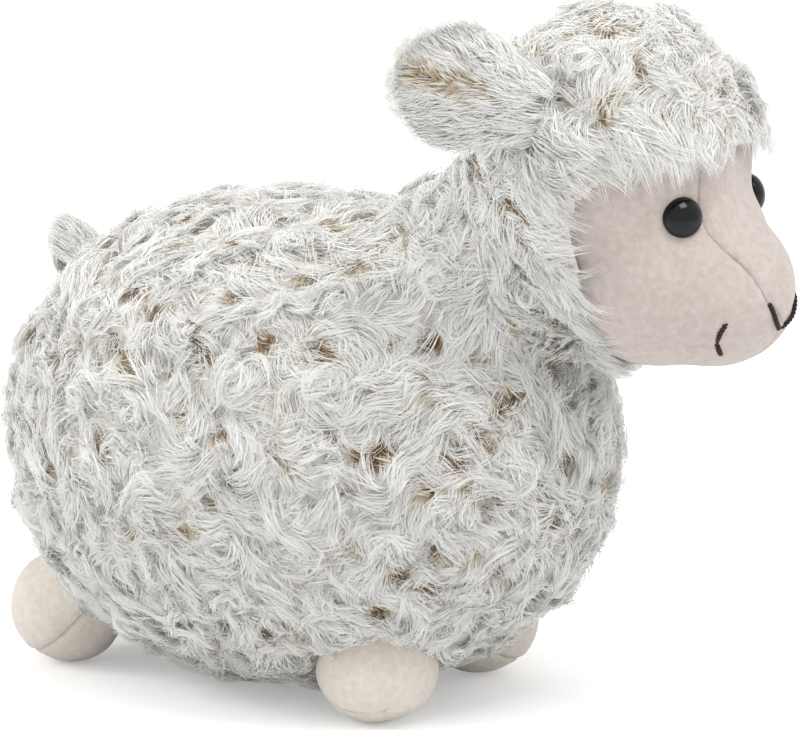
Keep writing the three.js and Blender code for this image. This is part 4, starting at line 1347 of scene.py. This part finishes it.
turns, tilts = ((190, 90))
ways, quads = ray_grid(turns, tilts, OPENING_AHEAD, math.radians(118.0))
surface = cast(head_gap, HEAD_MIDDLE, ways)
normals = unit(slope_of(head_gap, surface))
near_seam = face_seams(surface)
dip = SEAM_DEPTH * np.exp(-((near_seam / SEAM_WIDTH) ** 2))
swell = 0.5 * MM * (1.0 - np.exp(-((near_seam / (9.0 * MM)) ** 2)))
tuck = 1.3 * MM * np.clip(-past_opening(surface) / (3.0 * MM) - 0.8, 0.0, 1.0)
dimple = np.zeros(len(surface))
for sign in (-1.0, 1.0):
    way = unit(np.array([EYE_AIM * [1.0, sign, 1.0]]))
    seat = HEAD_MIDDLE + way * head_reach(way)[:, None]
    dimple += 1.1 * MM * np.exp(-((length_of(surface - seat) / (8.5 * MM)) ** 2))
skin = surface + normals * (swell - dip - tuck - dimple)[:, None]
half = gusset_half(skin)
beside = half - np.abs(skin[:, 1])
near = (np.abs(beside) < 0.8 * MM) & (half > 2.0 * MM)
skin[near, 1] += (np.sign(skin[:, 1]) * beside)[near]
centres = skin[quads].mean(1)
shown = past_opening(centres) > -6.0 * MM
in_gusset = np.abs(centres[:, 1]) < gusset_half(centres)
face = cut_panels(skin, quads, {
    "face_gusset_cloth": shown & in_gusset,
    "cheek_right_cloth": shown & ~in_gusset & (centres[:, 1] < 0),
    "cheek_left_cloth": shown & ~in_gusset & (centres[:, 1] >= 0),
}, face_nap_painted_shade, FACE_CLOTH, HEAD_MIDDLE)


# %% Eyes
def head_place(aim, lift=0.0):
    """A place on the face in a direction from the head form's middle, and its normal."""
    way = unit(np.array([aim], float))
    point = HEAD_MIDDLE + way * head_reach(way)[:, None]
    normal = unit(slope_of(head_gap, point))
    return (point + normal * lift)[0], normal[0]


def lathe(name, outline, place, axis, material, facets=48):
    """A turned piece: an outline of (radius, height) about an axis, closed where radius is 0."""
    axis = unit(np.array(axis))
    side = unit(np.cross(axis, [0.13, 0.97, 0.21]))
    other = np.cross(axis, side)
    rows = []
    for radius, height in outline:
        turn = np.arange(facets) * 2.0 * math.pi / facets
        rows.append(place + axis * height + radius * (np.cos(turn)[:, None] * side
                                                      + np.sin(turn)[:, None] * other))
    quads = ring_quads(len(outline) - 1, facets)
    piece = make_piece(name, np.concatenate(rows), quads, material)
    tidy_mesh(piece, merge=0.01 * MM, outward_from=place)
    return piece


EYE_RADIUS, EYE_HEIGHT = 6.0 * MM, 4.4 * MM
eyes = {}
for side, sign in (("right", -1.0), ("left", 1.0)):
    seat, facing = head_place(EYE_AIM * [1.0, sign, 1.0], -0.5 * MM)
    outline = [(0.0, -7.0 * MM), (1.5 * MM, -7.0 * MM), (1.5 * MM, -0.2 * MM),
               (EYE_RADIUS * 0.93, -0.2 * MM)]
    for step in range(17):
        angle = math.pi / 2 * step / 16
        outline.append((EYE_RADIUS * math.cos(angle), EYE_HEIGHT * math.sin(angle)))
    outline[-1] = (0.0, EYE_HEIGHT)
    eyes[f"eye_{side}_dome"] = lathe(f"eye_{side}_dome", outline, seat, facing, eye_gloss)

# %% [markdown]
# ## Stitches
#
# The nose and mouth are a few stitches of thick dark thread. A Geometry Nodes tree makes a
# thread along any line: two plies that twist round it, thinner at the ends where they go into
# the cloth.


# %% The thread tree
def thread_tree():
    tree, given = new_tree("twisted_thread", {
        "Ply Radius": "Float", "Twist Per Metre": "Float", "Material": "Material"})

    # Two copies of the line, each marked with its ply's number
    lines = add(tree, "GeometryNodeMeshToCurve", given["Geometry"])
    even = add(tree, "GeometryNodeResampleCurve", lines.outputs[0], in_Count=64)
    copies = add(tree, "GeometryNodeDuplicateElements", even.outputs[0], domain="SPLINE",
                 in_Amount=2)
    plies = add(tree, "GeometryNodeStoreNamedAttribute", copies.outputs["Geometry"],
                data_type="FLOAT", domain="CURVE", in_Name="ply",
                in_Value=copies.outputs["Duplicate Index"])

    # Each ply stands off the line on its own side, and the side turns along the line
    spline = add(tree, "GeometryNodeSplineParameter").outputs
    turn = maths(tree, "MULTIPLY", spline["Length"], given["Twist Per Metre"])
    angle = maths(tree, "MULTIPLY_ADD", named(tree, "ply", "FLOAT"), math.pi, turn)
    normal = add(tree, "GeometryNodeInputNormal").outputs[0]
    tangent = add(tree, "GeometryNodeInputTangent").outputs[0]
    aside = add(tree, "ShaderNodeVectorRotate", normal, rotation_type="AXIS_ANGLE",
                in_Axis=tangent, in_Angle=angle)
    ends = add(tree, "ShaderNodeFloatCurve", in_Value=spline["Factor"])
    points = ends.mapping.curves[0].points
    points[0].location, points[1].location = (0.0, 0.25), (1.0, 0.25)
    points.new(0.12, 1.0)
    points.new(0.88, 1.0)
    ends.mapping.update()
    radius = maths(tree, "MULTIPLY", ends.outputs[0], given["Ply Radius"])
    shift = add(tree, "GeometryNodeSetPosition", plies.outputs[0],
                in_Offset=vectors(tree, "SCALE", aside.outputs[0], scale=radius))
    circle = add(tree, "GeometryNodeCurvePrimitiveCircle", in_Resolution=8, in_Radius=1.15)
    sweep = add(tree, "GeometryNodeCurveToMesh", shift.outputs[0], circle.outputs[0],
                in_Scale=radius, in_Fill_Caps=True)
    return end_tree(tree, sweep.outputs[0], given["Material"])


twisted_thread = thread_tree()

# %% Nose and mouth
PLY_TWIST = 2600.0  # radians in a metre


def stitch(name, runs, ply_radius=0.34 * MM):
    """Stitches that lie on the face: each run is a row of directions from the head's middle."""
    points, edges = [], []
    for run, arch in runs:
        run = np.array(run, float)
        fine = np.linspace(0.0, len(run) - 1.0, 14)
        ways = np.stack([np.interp(fine, np.arange(len(run)), run[:, k]) for k in range(3)], -1)
        first = len(points)
        for index, way in enumerate(ways):
            share = index / (len(ways) - 1)
            lift = (arch * math.sin(math.pi * share) - 0.35 * MM * (1 - math.sin(math.pi * share)))
            points.append(head_place(way, lift)[0])
            if index:
                edges.append((first + index - 1, first + index))
    mesh = bpy.data.meshes.new(name)
    mesh.from_pydata([tuple(point) for point in points], edges, [])
    piece = bpy.data.objects.new(name, mesh)
    scene.collection.objects.link(piece)
    apply_tree(piece, twisted_thread, {
        "Ply Radius": ply_radius, "Twist Per Metre": PLY_TWIST, "Material": stitch_thread})
    piece.data.shade_smooth()
    return piece


stitches = {}
stitches["nose_thread"] = stitch("nose_thread", [
    ([(0.894, -0.161, -0.418), (0.857, -0.096, -0.506), (0.829, -0.014, -0.559)], 0.55 * MM),
    ([(0.894, 0.161, -0.418), (0.857, 0.096, -0.506), (0.829, 0.014, -0.559)], 0.55 * MM),
])
for side, sign in (("right", -1.0), ("left", 1.0)):
    def aim(x, y, z):
        return (x, y * sign, z)
    stitches[f"mouth_{side}_thread"] = stitch(f"mouth_{side}_thread", [
        ([aim(0.768, 0.362, -0.528), aim(0.722, 0.363, -0.594), aim(0.68, 0.338, -0.651)],
         0.55 * MM),
        ([aim(0.688, 0.350, -0.640), aim(0.668, 0.30, -0.682), aim(0.65, 0.245, -0.718)],
         0.55 * MM),
    ], 0.40 * MM)

# %% [markdown]
# ## Feet
#
# Each foot is an upper and a sole of napped cloth, sewn along the sides and round the toe, and
# stuffed. The seam pulls in a line, and the foot is flat only where it stands.


# %% Foot skins
SOLE_LINE = -0.383  # the cosine of the turn at which the sole meets the upper


def make_foot(name):
    length, aim = LEGS[name]
    hip = np.array(hinges[f"{name}_leg_swing"]["pos_m"])
    aim = unit(np.array(aim))
    up = unit(np.array([0.0, 0.0, 1.0]) - aim[2] * aim)
    side = np.cross(aim, up)
    cols, rows = 96, 44
    rng = np.random.default_rng(len(name) + (sum(map(ord, name))))
    waves = rng.normal(0.0, 1.0, (6, 4))
    points = []
    for row in range(rows + 1):
        share = row / rows
        if share < 0.4:
            along = 3.0 * MM + (length - 3.0 * MM) * share / 0.4
            radius = ROOT_RADIUS + (FOOT_RADIUS - ROOT_RADIUS) * along / length
        else:
            angle = (share - 0.4) / 0.6 * math.pi / 2
            along = length + FOOT_RADIUS * math.sin(angle)
            radius = FOOT_RADIUS * math.cos(angle)
        turn = np.arange(cols) * 2.0 * math.pi / cols
        across, above = np.sin(turn), np.cos(turn)
        ring = hip + aim * along + radius * (above[:, None] * up + across[:, None] * side)
        out = unit(ring - (hip + aim * min(along, length)))
        seam = np.abs(above - SOLE_LINE) * radius
        dip = 0.8 * MM * np.exp(-((seam / (1.0 * MM)) ** 2))
        dip += 0.9 * MM * np.clip((SOLE_LINE - above) * 4.0, 0.0, 1.0)
        swell = sum(0.22 * MM * wave[0] * np.sin(turn * (k + 1) + wave[1] * 3 + share * 5 * wave[2])
                    for k, wave in enumerate(waves[:4]))
        points.append(ring + out * (swell - dip)[:, None])
    points, faces = np.concatenate(points), ring_quads(rows, cols)
    low = 0.4 * MM
    height = points[:, 2]
    height = np.where(height < low, low * np.exp((height - low) / low), height)
    points[:, 2] = np.maximum(height, 0.02 * MM)
    column = faces[:, 0] % cols
    is_upper = np.cos((column + 0.5) * 2.0 * math.pi / cols) > SOLE_LINE
    return cut_panels(points, faces, {
        f"{name}_upper_cloth": is_upper, f"{name}_sole_cloth": ~is_upper,
    }, foot_nap_painted_light, FOOT_CLOTH, hip + aim * length)


feet = {name: make_foot(name) for name in LEGS}

# %% [markdown]
# ## Filling
#
# Under every cover is loose fibre that takes the cover's form. It never shows, but the model
# comes apart as the toy would, so each filling is its own padded piece, a little inside its cover.


# %% Fillings
def filling(name, gap, middle, level, turns=48, tilts=32, reach=0.16):
    ways, quads = ray_grid(turns, tilts, (0.0, 0.0, 1.0))
    points = cast(gap, np.array(middle), ways, level, reach)
    piece = make_piece(name, points, quads, filling_fibre)
    tidy_mesh(piece, merge=0.05 * MM, outward_from=middle)
    return piece


def inner_torso(points):
    pockets = np.max([-leg_gap(points, name) + 1.2 * MM for name in LEGS], axis=0)
    neck = 7.5 * MM + np.minimum(-neck_gap(points), (points - HEAD) @ NECK_AXIS - 26.0 * MM)
    neck = np.where((points - HEAD) @ NECK_AXIS < 68.0 * MM, neck, -1.0)
    return np.maximum(torso_gap(points) + 7.0 * MM, np.maximum(pockets, neck))


def neck_plug(points):
    from_head = points - HEAD
    along = from_head @ NECK_AXIS
    ends = np.maximum(length_of(from_head) * -1.0 + 49.0 * MM, along - 67.0 * MM)
    return np.maximum(neck_gap(points) + 8.5 * MM, ends)


fillings = {
    "body_filling": filling("body_filling", inner_torso, BODY_MIDDLE, 0.0),
    "neck_filling": filling("neck_filling", neck_plug, HEAD + NECK_AXIS * 58.0 * MM, 0.0,
                            reach=0.06),
    "head_filling": filling("head_filling", head_gap, HEAD_MIDDLE, -7.5 * MM),
}
for name in LEGS:
    length, aim = LEGS[name]
    hip = np.array(hinges[f"{name}_leg_swing"]["pos_m"])
    fillings[f"{name}_filling"] = filling(
        f"{name}_filling", lambda points, name=name: leg_gap(points, name),
        hip + unit(np.array(aim)) * length * 0.6, -2.6 * MM, 32, 20, 0.05)

# %% [markdown]
# ## Joining the pieces to the frame
#
# Each new piece rides on the body that carries it and stands for its CAD node.


def carry(piece, body, nodes=()):
    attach(piece, body)
    if nodes:
        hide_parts(*nodes)


for name, body, node in (
        ("body_cloth_right", "torso", "body_panel_right"),
        ("body_cloth_left", "torso", "body_panel_left"),
        ("belly_cloth", "torso", "belly_panel"),
        ("hood_cloth_right", "head", "hood_right"),
        ("hood_cloth_left", "head", "hood_left")):
    carry(cloth[name], body, [node])
for name, piece in fur.items():
    carry(piece, "head" if name.startswith("hood") else "torso")
for made, body in ((made_right, "ear_right"), (made_left, "ear_left"), (made_tail, "tail")):
    for name, piece in made.items():
        node = name.replace("_cloth", "")
        carry(piece, body, [node] if name.endswith("_cloth") else ())
for name, piece in face.items():
    carry(piece, "head", [name.replace("_cloth", "")])
for side in ("right", "left"):
    carry(eyes[f"eye_{side}_dome"], "head", [f"eye_{side}"])
    carry(stitches[f"mouth_{side}_thread"], "head", [f"mouth_stitch_{side}"])
    washer = frame["nodes"][f"eye_washer_{side}"]
    for slot in washer.material_slots:
        slot.material = washer_plastic
carry(stitches["nose_thread"], "head", ["nose_stitch"])
for name, made in feet.items():
    for label in ("upper", "sole"):
        carry(made[f"{name}_{label}_cloth"], f"leg_{name}", [f"{name}_foot_{label}"])
    carry(fillings[f"{name}_filling"], f"leg_{name}", [f"{name}_stuffing"])
carry(fillings["body_filling"], "torso", ["body_stuffing"])
carry(fillings["neck_filling"], "neck", ["neck_stuffing"])
carry(fillings["head_filling"], "head", ["head_stuffing"])

# %% Sizes and finish
visual_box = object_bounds()
boxes = {"cad": [list(corner) for corner in cad_box],
         "visual": [list(corner) for corner in visual_box]}
grown = [[round((v - c) * 1000, 1) for v, c in zip(visual, cad)]
         for visual, cad in zip(boxes["visual"], boxes["cad"])]
print("beyond the CAD box, in mm:", grown)
